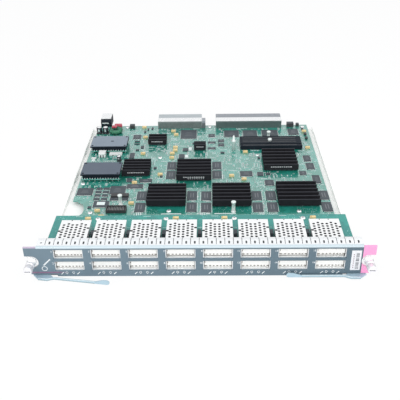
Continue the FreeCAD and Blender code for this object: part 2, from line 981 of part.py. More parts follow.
save("right_retaining_ring", [retaining_ring()])
save("left_retaining_ring", [mirrored(retaining_ring())])
save("right_screw_spring", [screw_spring()])
save("left_screw_spring", [mirrored(screw_spring())])
save("heatsinks", [heatsink(name) for name in sinks])
save("chip_packages", [package(name) for name in sinks])
save("memory_chips", memory_chips())
save("logic_chips", logic_chips())
save("tantalum_capacitors", tantalum_capacitors())
save("can_capacitors", can_capacitors())
save("toroid_inductor", [toroid_inductor()])
save("filter_parts", filter_parts())
save("edge_connector", [on_board((-122, 47, 26, 13), main_top, main_top + header_height)])
save("front_power_converter", power_converter("front"))
save("rear_power_converter", power_converter("rear"))
save("power_connector", [power_connector()])
save("left_plane_connector", [left_plane_connector()])
save("right_plane_connector", [plane_connector(plane_right)])
save("mezzanine_connector", [mezzanine_connector()])
save("mezzanine_posts", mezzanine_posts())
save("stack_connector", [stack_connector()])
save("port_board_spacers", port_board_spacers())
save("board_spacers", board_spacers())
save("board_screws", board_screws())
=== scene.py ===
import bpy
import bmesh
import math
import random
from mathutils import Matrix, Vector


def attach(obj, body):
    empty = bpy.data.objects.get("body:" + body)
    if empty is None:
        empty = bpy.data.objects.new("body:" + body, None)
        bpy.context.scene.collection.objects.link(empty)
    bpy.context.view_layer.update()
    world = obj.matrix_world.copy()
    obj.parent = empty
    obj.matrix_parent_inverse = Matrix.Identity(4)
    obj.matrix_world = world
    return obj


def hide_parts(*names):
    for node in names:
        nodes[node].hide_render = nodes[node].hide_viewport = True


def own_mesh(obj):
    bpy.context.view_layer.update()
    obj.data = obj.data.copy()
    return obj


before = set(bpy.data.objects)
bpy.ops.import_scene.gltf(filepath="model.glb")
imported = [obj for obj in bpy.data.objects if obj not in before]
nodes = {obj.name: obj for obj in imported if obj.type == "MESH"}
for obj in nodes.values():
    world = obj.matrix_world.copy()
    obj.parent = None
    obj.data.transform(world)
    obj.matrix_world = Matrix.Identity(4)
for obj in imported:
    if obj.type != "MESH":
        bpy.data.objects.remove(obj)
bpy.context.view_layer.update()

# Carrier.
# A sheet-steel tray with low folded sides and a zinc coat, in a pale satin finish with fine rolling marks.
# It carries the main board on short studs, and its front ears hold the levers.


def feed(tree, node, feeds):
    """Give each named input of a node a value, or a link from a socket or from a node's first output."""
    for name, value in feeds.items():
        if isinstance(value, bpy.types.Node):
            value = value.outputs[0]
        if isinstance(value, bpy.types.NodeSocket):
            tree.links.new(value, node.inputs[name])
        else:
            node.inputs[name].default_value = value


def add_node(tree, kind, feeds, **settings):
    """Add a node with its settings, and feed its inputs."""
    node = tree.nodes.new(kind)
    for name, value in settings.items():
        setattr(node, name, value)
    feed(tree, node, feeds)
    return node


def new_group(name, kind, takes, gives):
    """A node group with sockets of these names and kinds; also its given values and its end node."""
    group = bpy.data.node_groups.new(name, kind)
    for in_out, sockets in (("INPUT", takes), ("OUTPUT", gives)):
        for socket, what in sockets.items():
            group.interface.new_socket(socket, in_out=in_out, socket_type="NodeSocket" + what)
    given = group.nodes.new("NodeGroupInput").outputs
    return group, given, group.nodes.new("NodeGroupOutput")


def ramp(tree, value, start, end, low=0, high=1):
    """A value that goes from low at start to high at end; end may be the smaller one."""
    return add_node(tree, "ShaderNodeMapRange", {
        "Value": value, "From Min": start, "From Max": end, "To Min": low, "To Max": high,
    })


def both(tree, first, second):
    """The product of two masks."""
    return add_node(tree, "ShaderNodeMath", {0: first, 1: second}, operation="MULTIPLY")


def grain_group():
    """Fine grain, broad cloudiness and worn spots for a surface, all between 0 and 1."""
    group, given, result = new_group(
        "surface grain", "ShaderNodeTree", {"Cloud Scale": "Float", "Stretch X": "Float"},
        {"Grain": "Float", "Cloud": "Float", "Scuffs": "Float"},
    )
    place = add_node(group, "ShaderNodeTexCoord", {})
    stretch = add_node(group, "ShaderNodeCombineXYZ", {"X": given["Stretch X"], "Y": 1, "Z": 1})
    mapping = add_node(group, "ShaderNodeMapping", {
        "Vector": place.outputs["Object"], "Scale": stretch,
    })
    grain, cloud, scuffs = [
        add_node(group, "ShaderNodeTexNoise", {
            "Vector": mapping, "Scale": scale, "Detail": detail, "Roughness": rough,
        })
        for scale, detail, rough in ((2500, 3, 0.5), (given["Cloud Scale"], 4, 0.5), (160, 6, 0.7))
    ]
    feed(group, result, {"Grain": grain, "Cloud": cloud, "Scuffs": ramp(group, scuffs, 0.58, 0.72)})
    return group


surface_grain = grain_group()


def finish(name, light, dark, rough, metal=0, coat=0, shine=0.5, cloud=25, stretch=1, bump=0.05):
    """A material whose colour and gloss drift a little over the surface; rough is a low and a high value."""
    material = bpy.data.materials.new(name)
    material.use_nodes = True
    tree = material.node_tree
    pattern = add_node(
        tree, "ShaderNodeGroup", {"Cloud Scale": cloud, "Stretch X": stretch}, node_tree=surface_grain
    ).outputs
    colour = add_node(tree, "ShaderNodeMix", {
        "Factor": pattern["Cloud"], "A": (*dark, 1), "B": (*light, 1),
    }, data_type="RGBA")
    scuffed = add_node(tree, "ShaderNodeMath", {
        0: pattern["Scuffs"], 1: 0.12, 2: ramp(tree, pattern["Grain"], 0.3, 0.7, *rough),
    }, operation="MULTIPLY_ADD")
    relief = add_node(tree, "ShaderNodeBump", {
        "Strength": bump, "Distance": 0.0002, "Height": pattern["Grain"],
    })
    feed(tree, tree.nodes["Principled BSDF"], {
        "Base Color": colour.outputs["Result"], "Roughness": scuffed, "Normal": relief,
        "Metallic": metal, "Specular IOR Level": shine,
        "Coat Weight": coat, "Coat Roughness": 0.08,
    })
    return material


def paint_over(material, colour, mask):
    """Lay another colour over a finish where the mask is 1."""
    tree = material.node_tree
    base = tree.nodes["Principled BSDF"].inputs["Base Color"]
    mix = add_node(tree, "ShaderNodeMix", {
        "Factor": mask, "A": base.links[0].from_socket, "B": (*colour, 1),
    }, data_type="RGBA")
    tree.links.new(mix.outputs["Result"], base)


def past(material, axis, start, end, low=0, high=1):
    """A ramp along one axis of the object, between two places in metres."""
    tree = material.node_tree
    place = add_node(tree, "ShaderNodeTexCoord", {})
    split = add_node(tree, "ShaderNodeSeparateXYZ", {"Vector": place.outputs["Object"]})
    return ramp(tree, split.outputs[axis], start, end, low, high)


def paint_zone(material, colour, *limits):
    """Paint what is past every limit; each is an axis, a start and an end."""
    mask = past(material, *limits[0])
    for limit in limits[1:]:
        mask = both(material.node_tree, mask, past(material, *limit))
    paint_over(material, colour, mask)


def dress(material, *names):
    """Give CAD nodes a finish."""
    for name in names:
        for place in nodes[name].material_slots:
            place.material = material


def soften(width, *names):
    """Break the sharp edges of CAD nodes, as tumbling or moulding does."""
    for name in names:
        weld = nodes[name].modifiers.new("joined faces", "WELD")
        weld.merge_threshold = 1e-6
        bevel = nodes[name].modifiers.new("broken edges", "BEVEL")
        bevel.width = width / 1000
        bevel.segments = 2
        bevel.limit_method = "ANGLE"
        bevel.angle_limit = math.radians(40)


carrier_steel = finish(
    "carrier sheet", (0.99, 0.985, 0.97), (0.965, 0.955, 0.935), (0.4, 0.55), stretch=4, bump=0.02
)
# Painted shade: the tray's front ends round the levers, beyond 151 mm from the middle and less than 15 mm
# behind the faceplate, are painted dark blue grey.
for side in (-1, 1):
    paint_zone(
        carrier_steel, (0.13, 0.17, 0.2), ("X", side * 0.15, side * 0.151), ("Y", -0.178, -0.179)
    )
dress(carrier_steel, "carrier_tray")
soften(0.15, "carrier_tray")

# Main board.
# A glass-fibre laminate under a glossy green solder mask, with copper fields, fine tracks and tinned vias.
# The gloss mirrors the room, so the board looks pale in the open and deep green before the black heatsinks.
board_green = finish("main board mask", (0.01, 0.218, 0.158), (0.006, 0.153, 0.11), (0.3, 0.45), bump=0.02)


def printed_circuit(material, via_scale, track_scale, gloss):
    """Copper fields, tracks and vias under a board's mask, and the mask's gloss."""
    tree = material.node_tree
    place = add_node(tree, "ShaderNodeTexCoord", {}).outputs["Object"]
    fields = add_node(tree, "ShaderNodeTexVoronoi", {"Vector": place, "Scale": 45}, distance="MANHATTAN")
    shade = add_node(tree, "ShaderNodeSeparateColor", {"Color": fields.outputs["Color"]})
    paint_over(material, (0.025, 0.34, 0.275), ramp(tree, shade, 0.5, 1.6))
    tracks = add_node(
        tree, "ShaderNodeTexVoronoi", {"Vector": place, "Scale": track_scale}, distance="CHEBYCHEV"
    )
    lines = add_node(tree, "ShaderNodeMath", {0: tracks, 1: 0.12}, operation="PINGPONG")
    paint_over(material, (0.07, 0.46, 0.4), ramp(tree, lines, 0.09, 0.16))
    dots = add_node(tree, "ShaderNodeTexVoronoi", {"Vector": place, "Scale": via_scale, "Randomness": 0.8})
    patches = add_node(tree, "ShaderNodeTexNoise", {"Vector": place, "Scale": 38})
    near, some = ramp(tree, dots, 0.22, 0.17), ramp(tree, patches, 0.47, 0.52)
    paint_over(material, (0.56, 0.84, 0.82), both(tree, near, some))
    feed(tree, tree.nodes["Principled BSDF"], {"Specular Tint": (0.3, 1, 0.95, 1), **gloss})


printed_circuit(board_green, 420, 130, {
    "Coat Weight": 1, "Coat IOR": 2.2, "Coat Roughness": 0.12, "Specular IOR Level": 1,
})
dress(board_green, "main_board")

# Chip packages and their legs.
# Moulded black plastic, faded to grey, with bent tin legs and pale laser marks; soldered to the board.
chip_plastic = finish(
    "chip plastic", (0.088, 0.105, 0.12), (0.055, 0.068, 0.078), (0.45, 0.6), shine=0.3, bump=0.1
)
dress(chip_plastic, "chip_packages", "memory_chips", "logic_chips")
soften(0.15, "memory_chips", "logic_chips")
middle_back = 194
board_top = 8
leg_pitch = 0.85
whole = (1, 1, 1)


def card(x, y, z):
    """A point from millimetres across the card, back from the faceplate and up from the tray's underside."""
    return Vector((x, y - middle_back, z)) / 1000


def add_block(shape, x0, x1, y0, y1, z0, z1, layer=0, soft=0):
    """Add a block to a shape; soft rounds its edges, and layer picks its material."""
    corners = bmesh.ops.create_cube(shape, size=1)["verts"]
    for corner in corners:
        a, b, c = corner.co + Vector((0.5, 0.5, 0.5))
        corner.co = (x0 + (x1 - x0) * a, y0 + (y1 - y0) * b, z0 + (z1 - z0) * c)
    for face in {face for corner in corners for face in corner.link_faces}:
        face.material_index = layer
    if soft:
        edges = list({edge for corner in corners for edge in corner.link_edges})
        bmesh.ops.bevel(shape, geom=edges, offset=soft, segments=2, profile=0.5, affect="EDGES", material=-1)


def add_prism(shape, outline, along, start, end, layer=0):
    """Add an outline pushed along one axis; its points keep X, Y, Z order."""
    order = {"x": (2, 0, 1), "y": (0, 2, 1), "z": (0, 1, 2)}[along]
    near, far = [
        [shape.verts.new([(a, b, c)[i] for i in order]) for a, b in outline] for c in (start, end)
    ]
    faces = [shape.faces.new(near), shape.faces.new(far)]
    for i in range(len(outline)):
        j = (i + 1) % len(outline)
        faces.append(shape.faces.new((near[i], near[j], far[j], far[i])))
    for face in faces:
        face.material_index = layer
    bmesh.ops.recalc_face_normals(shape, faces=faces)


def one(add, *measures, **options):
    """A new shape that holds one block, prism or turned form."""
    shape = bmesh.new()
    add(shape, *measures, **options)
    return shape


def put_in_place(name, mesh, replaces=(), body="carrier", smooth=False):
    """Make a mesh a piece of the object."""
    piece = bpy.data.objects.new(name, mesh)
    bpy.context.collection.objects.link(piece)
    if smooth:
        mesh.shade_smooth()
        mesh.set_sharp_from_angle(angle=math.radians(35))
    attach(piece, body)
    if replaces:
        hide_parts(*replaces)
    return piece


def set_out_tree():
    """Geometry nodes that put one item on every point of a mesh, with the point's own turn and size."""
    group, given, result = new_group(
        "set out", "GeometryNodeTree", {"Geometry": "Geometry", "Item": "Object", "Finish": "Material"},
        {"Geometry": "Geometry"},
    )
    item = add_node(group, "GeometryNodeObjectInfo", {"Object": given["Item"]})
    turn = add_node(group, "GeometryNodeInputNamedAttribute", {"Name": "turn"}, data_type="FLOAT")
    size = add_node(group, "GeometryNodeInputNamedAttribute", {"Name": "size"}, data_type="FLOAT_VECTOR")
    spin = add_node(group, "ShaderNodeCombineXYZ", {"Z": turn})
    put = add_node(group, "GeometryNodeInstanceOnPoints", {
        "Points": given["Geometry"], "Instance": item.outputs["Geometry"], "Rotation": spin, "Scale": size,
    })
    real = add_node(group, "GeometryNodeRealizeInstances", {"Geometry": put})
    coat = add_node(group, "GeometryNodeSetMaterial", {"Geometry": real, "Material": given["Finish"]})
    feed(group, result, {"Geometry": coat})
    return group


def solved(thing):
    """The mesh of an object with its text or nodes worked out; the object itself goes."""
    bpy.context.collection.objects.link(thing)
    mesh = bpy.data.meshes.new_from_object(thing.evaluated_get(bpy.context.evaluated_depsgraph_get()))
    bpy.data.objects.remove(thing)
    return mesh


def grow(group, points, values):
    """The mesh that a group of geometry nodes makes from a mesh of points."""
    thing = bpy.data.objects.new("points", points)
    change = thing.modifiers.new("growth", "NODES")
    change.node_group = group
    for socket in group.interface.items_tree:
        if socket.in_out == "INPUT" and socket.name in values:
            change[socket.identifier] = values[socket.name]
    return solved(thing)


set_out_group = set_out_tree()


def set_out(name, item, places, material, replaces=(), smooth=False):
    """Repeat an item drawn in millimetres round its own middle; each place is x, y, z, turn and size."""
    for corner in item.verts:
        corner.co = corner.co / 1000
    item_mesh = bpy.data.meshes.new(name + " item")
    item.to_mesh(item_mesh)
    item.free()
    pattern = bpy.data.objects.new(name + " item", item_mesh)
    bpy.context.collection.objects.link(pattern)
    points = bpy.data.meshes.new(name + " points")
    points.from_pydata([card(x, y, z) for x, y, z, turn, size in places], [], [])
    turns = points.attributes.new("turn", "FLOAT", "POINT")
    turns.data.foreach_set("value", [math.radians(turn) for x, y, z, turn, size in places])
    sizes = points.attributes.new("size", "FLOAT_VECTOR", "POINT")
    sizes.data.foreach_set("vector", [side for x, y, z, turn, size in places for side in size])
    mesh = grow(set_out_group, points, {"Item": pattern, "Finish": material})
    mesh.name = name
    bpy.data.objects.remove(pattern)
    for spare in ("turn", "size"):
        if spare in mesh.attributes:
            mesh.attributes.remove(mesh.attributes[spare])
    put_in_place(name, mesh, replaces, smooth=smooth)


def set_out_blocks(name, sides, places, material):
    """Repeat one block."""
    set_out(name, one(add_block, *sides), places, material)


def islands(name):
    """The low and high corners of each solid of a CAD node, in card millimetres."""
    shape = bmesh.new()
    shape.from_mesh(nodes[name].data)
    bmesh.ops.remove_doubles(shape, verts=shape.verts, dist=1e-6)
    left = set(shape.verts)
    found = []
    while left:
        group = [left.pop()]
        for corner in group:
            for edge in corner.link_edges:
                other = edge.other_vert(corner)
                if other in left:
                    left.remove(other)
                    group.append(other)
        low = [min(c.co[i] for c in group) * 1000 for i in range(3)]
        high = [max(c.co[i] for c in group) * 1000 for i in range(3)]
        found.append((low[0], high[0], low[1] + middle_back, high[1] + middle_back, low[2], high[2]))
    shape.free()
    return sorted(found)


leg_tin = finish("leg tin", (0.8, 0.82, 0.82), (0.66, 0.7, 0.7), (0.3, 0.45), metal=0.6, bump=0.02)
mark_grey = finish("laser mark", (0.19, 0.2, 0.22), (0.14, 0.15, 0.165), (0.5, 0.6))
memory = islands("memory_chips")
logic = islands("logic_chips")
leg = one(add_prism, [
    (0, 0.5), (0.3, 0.5), (0.55, 0.12), (1.1, 0.12), (1.1, 0), (0.45, 0), (0.2, 0.38), (0, 0.38),
], "x", -0.21, 0.21)
leg_places = []
mark_places = []


def leg_row(middle, length):
    """The places of the legs along one side of a chip."""
    count = int((length - 1.2) / leg_pitch)
    return [middle + (i - (count - 1) / 2) * leg_pitch for i in range(count)]


for chips, two_sided in ((memory, True), (logic, False)):
    for x0, x1, y0, y1, z0, z1 in chips:
        wide, deep = x1 - x0, y1 - y0
        mx, my = (x0 + x1) / 2, (y0 + y1) / 2
        if two_sided or wide > 9 or deep < 9:
            for x in leg_row(mx, wide):
                leg_places += [(x, y1, z0, 0, whole), (x, y0, z0, 180, whole)]
        if not two_sided and (deep > 9.5 or wide < 9):
            for y in leg_row(my, deep):
                leg_places += [(x0, y, z0, 90, whole), (x1, y, z0, -90, whole)]
        if two_sided:
            mark_places += [(mx + side * 1.7, my, z1, 0, (1.3, deep * 0.5, 1)) for side in (-1, 1)]
        elif wide > 9:
            for row in range(3):
                spot = (mx, my + (row - 1) * deep * 0.17, z1)
                mark_places.append((*spot, 0, (wide * (0.5 - 0.08 * row), 0.9, 1)))
set_out("chip_legs", leg, leg_places, leg_tin)
sunk_dash = (-0.5, 0.5, -0.5, 0.5, -0.02, 0.03)
set_out_blocks("chip_marks", sunk_dash, mark_places, mark_grey)

# Small parts and screen print on the main board.
# Hundreds of ceramic chips with tinned ends stand in short rows; the white print is baked epoxy ink.
below = ("carrier_tray", "board_spacers", "main_board", "port_board")
taken = [box for name in nodes if name not in below for box in islands(name) if box[3] > 80 and box[4] < 23]
bare = [
    (x0 - 2, x1 + 2, y0 - 34, y0)
    for x0, x1, y0, y1, z0, z1 in islands("heatsinks") if x1 - x0 > 25 and y0 < 200
]


def made(name, shape, materials, replaces=(), body="carrier", smooth=False):
    """Turn a shape drawn in card millimetres into a piece of the object."""
    mesh = bpy.data.meshes.new(name)
    for corner in shape.verts:
        corner.co = card(*corner.co)
    shape.to_mesh(mesh)
    shape.free()
    for material in materials:
        mesh.materials.append(material)
    return put_in_place(name, mesh, replaces, body, smooth)


edge_side, edge_front, edge_rear = 168, 92, 383
cut_side, cut_back = -150, 154


def is_free(x, y, half_x, half_y, room):
    """True where a small part fits on the main board beside what stands there."""
    if abs(x) + half_x >= edge_side or y - half_y <= edge_front or y + half_y >= edge_rear:
        return False
    if x < cut_side and y < cut_back:
        return False
    if any(x0 < x < x1 and y0 < y < y1 for x0, x1, y0, y1 in bare):
        return False
    wide, deep = half_x + room, half_y + room
    return not any(
        x0 - wide < x < x1 + wide and y0 - deep < y < y1 + deep for x0, x1, y0, y1, z0, z1 in taken
    )


def ceramic_chip(end, cap):
    """A small ceramic part from its half length and the half length between its tinned ends."""
    chip = bmesh.new()
    tin = chip.faces.layers.float.new("tin")
    for x0, x1, high, value in ((-end, -cap, 0.56, 1), (-cap, cap, 0.5, 0), (cap, end, 0.56, 1)):
        before = set(chip.faces)
        add_block(chip, x0, x1, -0.42, 0.42, 0, high)
        for face in set(chip.faces) - before:
            face[tin] = value
    return chip


small_part = finish("ceramic chip part", (0.44, 0.48, 0.45), (0.09, 0.1, 0.1), (0.4, 0.55), cloud=300)
tinned = add_node(small_part.node_tree, "ShaderNodeAttribute", {}, attribute_name="tin")
paint_over(small_part, (0.82, 0.93, 0.94), tinned.outputs["Fac"])
chance = random.Random(11)
small_places = []
silk_places = []


def print_bar(x, y, wide, deep):
    """Print a white bar on the main board, round its middle."""
    silk_places.append((x, y, board_top, 0, (wide, deep, 1)))


dark_parts = bmesh.new()
pale_parts = bmesh.new()
for parts, high, spots in (
    (dark_parts, 1.4, (
        (-102.3, 344, 8, 2.6), (-102.2, 335, 8.4, 2.6), (-101.3, 326, 8.4, 2.6), (-100.8, 317.2, 8.8, 2.6),
        (-91.4, 306, 5, 8), (-67.1, 239, 4.3, 4.5), (-145.2, 133, 4.8, 4), (-91.9, 361, 3.4, 6),
        (-87.6, 370, 2.7, 6), (-81, 373, 3.3, 7), (-98.3, 296.7, 5, 3.5), (-56.6, 214, 3.8, 4),
        (-63.6, 220, 9.5, 3), (163, 347, 4.2, 6), (162.8, 332, 3.6, 5), (94, 219, 6, 5),
        (84.4, 268, 3.7, 4), (161, 368, 4, 7), (-105.2, 214, 4.6, 6), (-99.1, 214, 4.6, 6),
        (-47, 372, 4, 5), (-12, 318, 6, 4), (48, 300, 5, 5), (31, 286, 6, 4),
    )),
    (pale_parts, 2.6, ((-17.6, 297, 4.8, 8), (-22.6, 272, 4.2, 8), (-159.9, 262, 4.5, 4))),
):
    for x, y, wide, deep in spots:
        if is_free(x, y, wide / 2, deep / 2, 0.2):
            sides = (x - wide / 2, x + wide / 2, y - deep / 2, y + deep / 2)
            add_block(parts, *sides, board_top + 0.05, board_top + 0.05 + high, soft=0.25)
            taken.append((*sides, 8, 9))
            for side in (-1, 1):
                print_bar(x + side * (wide / 2 + 0.7), y, 0.5, deep + 0.8)
made("dark_parts", dark_parts, [chip_plastic])
rows_wanted = 740
for attempt in range(6000):
    if rows_wanted == 0:
        break
    x = chance.uniform(-165, 165)
    y = chance.uniform(94, 381)
    upright = chance.random() < 0.6
    count = chance.choice((1, 1, 2, 3, 4, 6, 8))
    pitch = chance.choice((1.6, 1.9, 2.4))
    scale = chance.choice((0.75, 0.85, 1, 1.2))
    line = []
    for i in range(count):
        px, py = (x, y + i * pitch * scale) if upright else (x + i * pitch * scale, y)
        if not is_free(px, py, 1.2 * scale, 1.2 * scale, 0.6):
            break
        line.append((px, py, board_top, 0 if upright else 90, (scale, scale, scale)))
    if line:
        rows_wanted -= 1
        small_places += line
        taken += [(px - 0.9, px + 0.9, py - 0.9, py + 0.9, 8, 9) for px, py, pz, turn, size in line]
        if chance.random() < 0.7:
            reach = (len(line) - 1) * pitch * scale
            side = chance.choice((-1.8, 1.8)) * scale
            if upright:
                print_bar(x + side, y + reach / 2, 0.42, reach + 2.2)
            else:
                print_bar(x + reach / 2, y + side, reach + 2.2, 0.42)
set_out("small_parts", ceramic_chip(0.8, 0.42), small_places, small_part)
silk_white = finish("white print", (0.82, 0.9, 0.89), (0.72, 0.81, 0.8), (0.5, 0.6))
for x0, x1, y0, y1, z0, z1 in memory:
    for x in (x0 - 0.9, x1 + 0.9):
        print_bar(x, (y0 + y1) / 2, 0.5, y1 - y0)
for x0, x1, y0, y1, z0, z1 in logic:
    if x1 - x0 > 9:
        print_bar(x0 - 0.7, y0 - 1.6, 1.4, 0.5)
        print_bar(x0 - 1.9, y0 - 0.6, 0.5, 2.4)
for x, wide in ((-37.7, 25.5), (-0.8, 7.6), (9.4, 5), (31.2, 27.4)):
    print_bar(x, 117.2, wide, 1.6)
for x in (-79.4, 2.9, 78.2):
    for y in (96.5, 124.5):
        for side in (-2.4, 0, 2.4):
            print_bar(x + side, y, 0.9, 21)
print_dash = (-0.5, 0.5, -0.5, 0.5, 0, 0.03)
set_out_blocks("board_print", print_dash, silk_places, silk_white)
made("pale_parts", pale_parts, [silk_white])
tag = one(add_block, -136.5, -126, 137.6, 145.2, 9.28, 9.36)
made("chip_label", tag, [silk_white])
corner = one(add_prism, [
    (-150.2, 150.4), (-164, 150.4), (-160, 147.6), (-156.6, 144), (-154.2, 139.5), (-152.7, 134),
    (-151.9, 128), (-151.8, 122.5), (-152.8, 118.5), (-155, 115.2), (-150.2, 114.2),
], "z", 5.7, 7.9)
made("board_corner", corner, [board_green])

# Heatsinks.
# Extruded aluminium with a black anodised skin, glued to the chips; the fin tips carry a painted highlight,
# a little lighter and bluer.
anodised = finish(
    "black anodised", (0.026, 0.026, 0.031), (0.012, 0.012, 0.015), (0.45, 0.6),
    metal=0.1, shine=0.17, stretch=5,
)
# Painted highlight: the fin tips are painted lighter and bluer than the rest of the anodised skin.
paint_zone(anodised, (0.024, 0.026, 0.034), ("Z", 0.01865, 0.01878))
dress(anodised, "heatsinks")
soften(0.25, "heatsinks")
printed = finish("heatsink print", (0.8, 0.8, 0.82), (0.45, 0.45, 0.47), (0.5, 0.6), cloud=300)
print_places = []
for x0, x1, y0, y1, z0, z1 in islands("heatsinks"):
    wide = x1 - x0
    if y0 > 200 and wide > 14:
        for i in range(10):
            x = x0 + wide * (0.22 + 0.062 * i)
            print_places.append((x, y0, z0 + 4.6, 0, (wide * 0.042, 1, 1.3)))
            if y0 < 210 and i > 1:
                print_places.append((x, y0, z0 + 2.2, 0, (wide * 0.03, 1, 0.9)))
front_dash = (-0.5, 0.5, -0.03, 0.02, -0.5, 0.5)
set_out_blocks("heatsink_marks", front_dash, print_places, printed)

# Moulded capacitors.
# Cream moulded blocks with a darker band at one end and folded tin ends.
cream = finish("moulded cream", (0.86, 0.68, 0.36), (0.78, 0.58, 0.28), (0.35, 0.5))
dress(cream, "tantalum_capacitors")
soften(0.35, "tantalum_capacitors")
band_brown = finish("polarity band", (0.55, 0.34, 0.12), (0.45, 0.27, 0.09), (0.4, 0.5))
band_places = []
end_places = []
for x0, x1, y0, y1, z0, z1 in islands("tantalum_capacitors"):
    my = (y0 + y1) / 2
    band_places.append((x0 + 1.2, my, z1, 0, (0.9, y1 - y0 - 0.8, 1)))
    end_places += [(x0, my, z0, 90, whole), (x1, my, z0, -90, whole)]
set_out_blocks("capacitor_bands", sunk_dash, band_places, band_brown)
tab = one(add_prism, [(0, 1.5), (0.14, 1.5), (0.14, 0.12), (0.5, 0.12), (0.5, 0), (0, 0)], "x", -1.1, 1.1)
set_out("capacitor_ends", tab, end_places, leg_tin)

# Can capacitors.
# Drawn aluminium cans in a black sleeve with a pale polarity stripe, which also serves as a painted
# highlight; the bare top shows inside the rolled sleeve.
can_metal = finish("drawn can", (0.92, 0.93, 0.94), (0.82, 0.84, 0.85), (0.18, 0.28), metal=0.6)
sleeve = finish("can sleeve", (0.035, 0.04, 0.055), (0.018, 0.02, 0.03), (0.25, 0.35), coat=0.3)
foot_black = finish("black moulding", (0.05, 0.05, 0.054), (0.03, 0.03, 0.033), (0.4, 0.55))


def around(steps):
    """The angles of so many steps round a circle."""
    return [2 * math.pi * i / steps for i in range(steps)]


def add_skin(shape, rings, layer=0, closed=False):
    """Join rings of points into a smooth tube, either capped or closed on itself."""
    rings = [[shape.verts.new(point) for point in ring] for ring in rings]
    faces = [] if closed else [shape.faces.new(rings[0]), shape.faces.new(rings[-1])]
    for near, far in zip(rings, rings[1:] + rings[:1] if closed else rings[1:]):
        for i in range(len(near)):
            j = (i + 1) % len(near)
            faces.append(shape.faces.new((near[i], near[j], far[j], far[i])))
            faces[-1].smooth = True
    for face in faces:
        face.material_index = layer
    bmesh.ops.recalc_face_normals(shape, faces=faces)


def add_turned(shape, profile, x, y, z, along="z", steps=32, layer=0, flutes=0):
    """Add a turned form from pairs of radius and reach; a radius below zero is cut by the flutes."""
    rings = []
    for radius, reach in profile:
        ring = []
        for i, turn in enumerate(around(steps)):
            r = abs(radius) - (flutes if radius < 0 and i % 2 else 0)
            a, b = r * math.cos(turn), r * math.sin(turn)
            ring.append((x + a, y + b, z + reach) if along == "z" else (x + a, y + reach, z + b))
        rings.append(ring)
    add_skin(shape, rings, layer)


cans = bmesh.new()
for x0, x1, y0, y1, z0, z1 in islands("can_capacitors"):
    r = (x1 - x0) / 2 * 0.98
    x, y, top = (x0 + x1) / 2, (y0 + y1) / 2, z1 - z0
    add_block(cans, x - r, x + r, y - r, y + r, z0, z0 + 1.2, layer=1, soft=0.5)
    add_turned(cans, [
        (r * 0.9, 1.2), (r * 0.98, 1.6), (r * 0.98, 2.6), (r * 0.86, 3.1), (r * 0.98, 3.6),
        (r * 0.98, top - 0.7), (r * 0.88, top - 0.1), (r * 0.7, top - 0.2),
    ], x, y, z0, steps=28, layer=2)
    add_turned(cans, [(r * 0.72, top - 0.15), (r * 0.72, top - 0.05)], x, y, z0, steps=24)
    # The pale polarity stripe down the front of each sleeve, in can metal, also stands in for a painted
    # highlight.
    add_block(cans, x - 1.3, x + 0.9, y - r * 1, y - r * 0.9, z0 + 4.2, z1 - 2, soft=0.1)
made("can_capacitors_turned", cans, [can_metal, foot_black, sleeve], ["can_capacitors"])

# Toroid inductor.
# A coated ring core wound with enamelled wire, with a red dipped capacitor that leans over it.
core_green = finish("coated core", (0.1, 0.38, 0.2), (0.04, 0.22, 0.12), (0.3, 0.45))
wire_green = finish("enamelled wire", (0.06, 0.26, 0.17), (0.03, 0.17, 0.12), (0.2, 0.35), coat=0.5)
dipped_red = finish("dipped red", (0.55, 0.07, 0.11), (0.4, 0.04, 0.07), (0.25, 0.4), coat=0.4)
x0, x1, y0, y1, z0, z1 = islands("toroid_inductor")[0]
middle = Vector((x0 + x1, y0 + y1, z0 + z1)) / 2
ring_radius, core_radius, wire_radius = 7.2, 2.9, 0.45


def on_ring(turn, reach, height, off=0):
    """A point of the toroid: at a turn round its axis, so far out, so high and so far to the side."""
    return middle + Matrix.Rotation(turn, 3, "Z") @ Vector((reach, off, height))


core_rings = [[
    on_ring(t, ring_radius + core_radius * math.cos(s), core_radius * math.sin(s)) for s in around(14)
] for t in around(40)]
made("toroid_core", one(add_skin, core_rings, closed=True), [core_green], ["toroid_inductor"])
turns = bmesh.new()
for t in around(24):
    loop = []
    for s in around(16):
        quarter = []
        for u in around(5):
            r = core_radius + wire_radius + wire_radius * math.cos(u)
            side = wire_radius * math.sin(u)
            quarter.append(on_ring(t, ring_radius + r * math.cos(s), r * math.sin(s), side))
        loop.append(quarter)
    add_skin(turns, loop, closed=True)
made("toroid_winding", turns, [wire_green])
lean = one(
    add_block, middle.x - 6.2, middle.x + 2, middle.y - 1, middle.y + 6, z1 + 0.2, z1 + 3, soft=1.3
)
made("dipped_capacitor", lean, [dipped_red], smooth=True)

# Relay, filter blocks and film capacitor.
# White and cream mouldings, and dark coils, soldered beside the converters and along the rear edge.
white_plastic = finish("white moulding", (0.84, 0.85, 0.84), (0.74, 0.75, 0.74), (0.35, 0.5))
blocks = bmesh.new()
for x0, x1, y0, y1, z0, z1 in islands("filter_parts"):
    if z1 > 18:
        add_block(blocks, x0 + 6.5, x1, y0, y1, z0, z1 - 4.5, layer=3, soft=2)
        continue
    pale = y1 < 320 and x0 < -110
    add_block(blocks, x0, x1, y0, y1, z0, z1 - 0.05, layer=0 if pale else 1, soft=0.5)
    add_block(blocks, x0 + 0.8, x1 - 0.8, y0 + 0.8, y1 - 0.8, z1 - 0.1, z1, layer=0 if pale else 2)
    for share in (0.3, 0.7) if pale else ():
        x = x0 + (x1 - x0) * share
        add_block(blocks, x - 0.8, x + 0.8, y0 - 0.02, y0 + 0.3, z0 + 0.4, z0 + (z1 - z0) * 0.6, layer=1)
block_finishes = [white_plastic, foot_black, chip_plastic, dipped_red]
made("filter_blocks", blocks, block_finishes, ["filter_parts"])

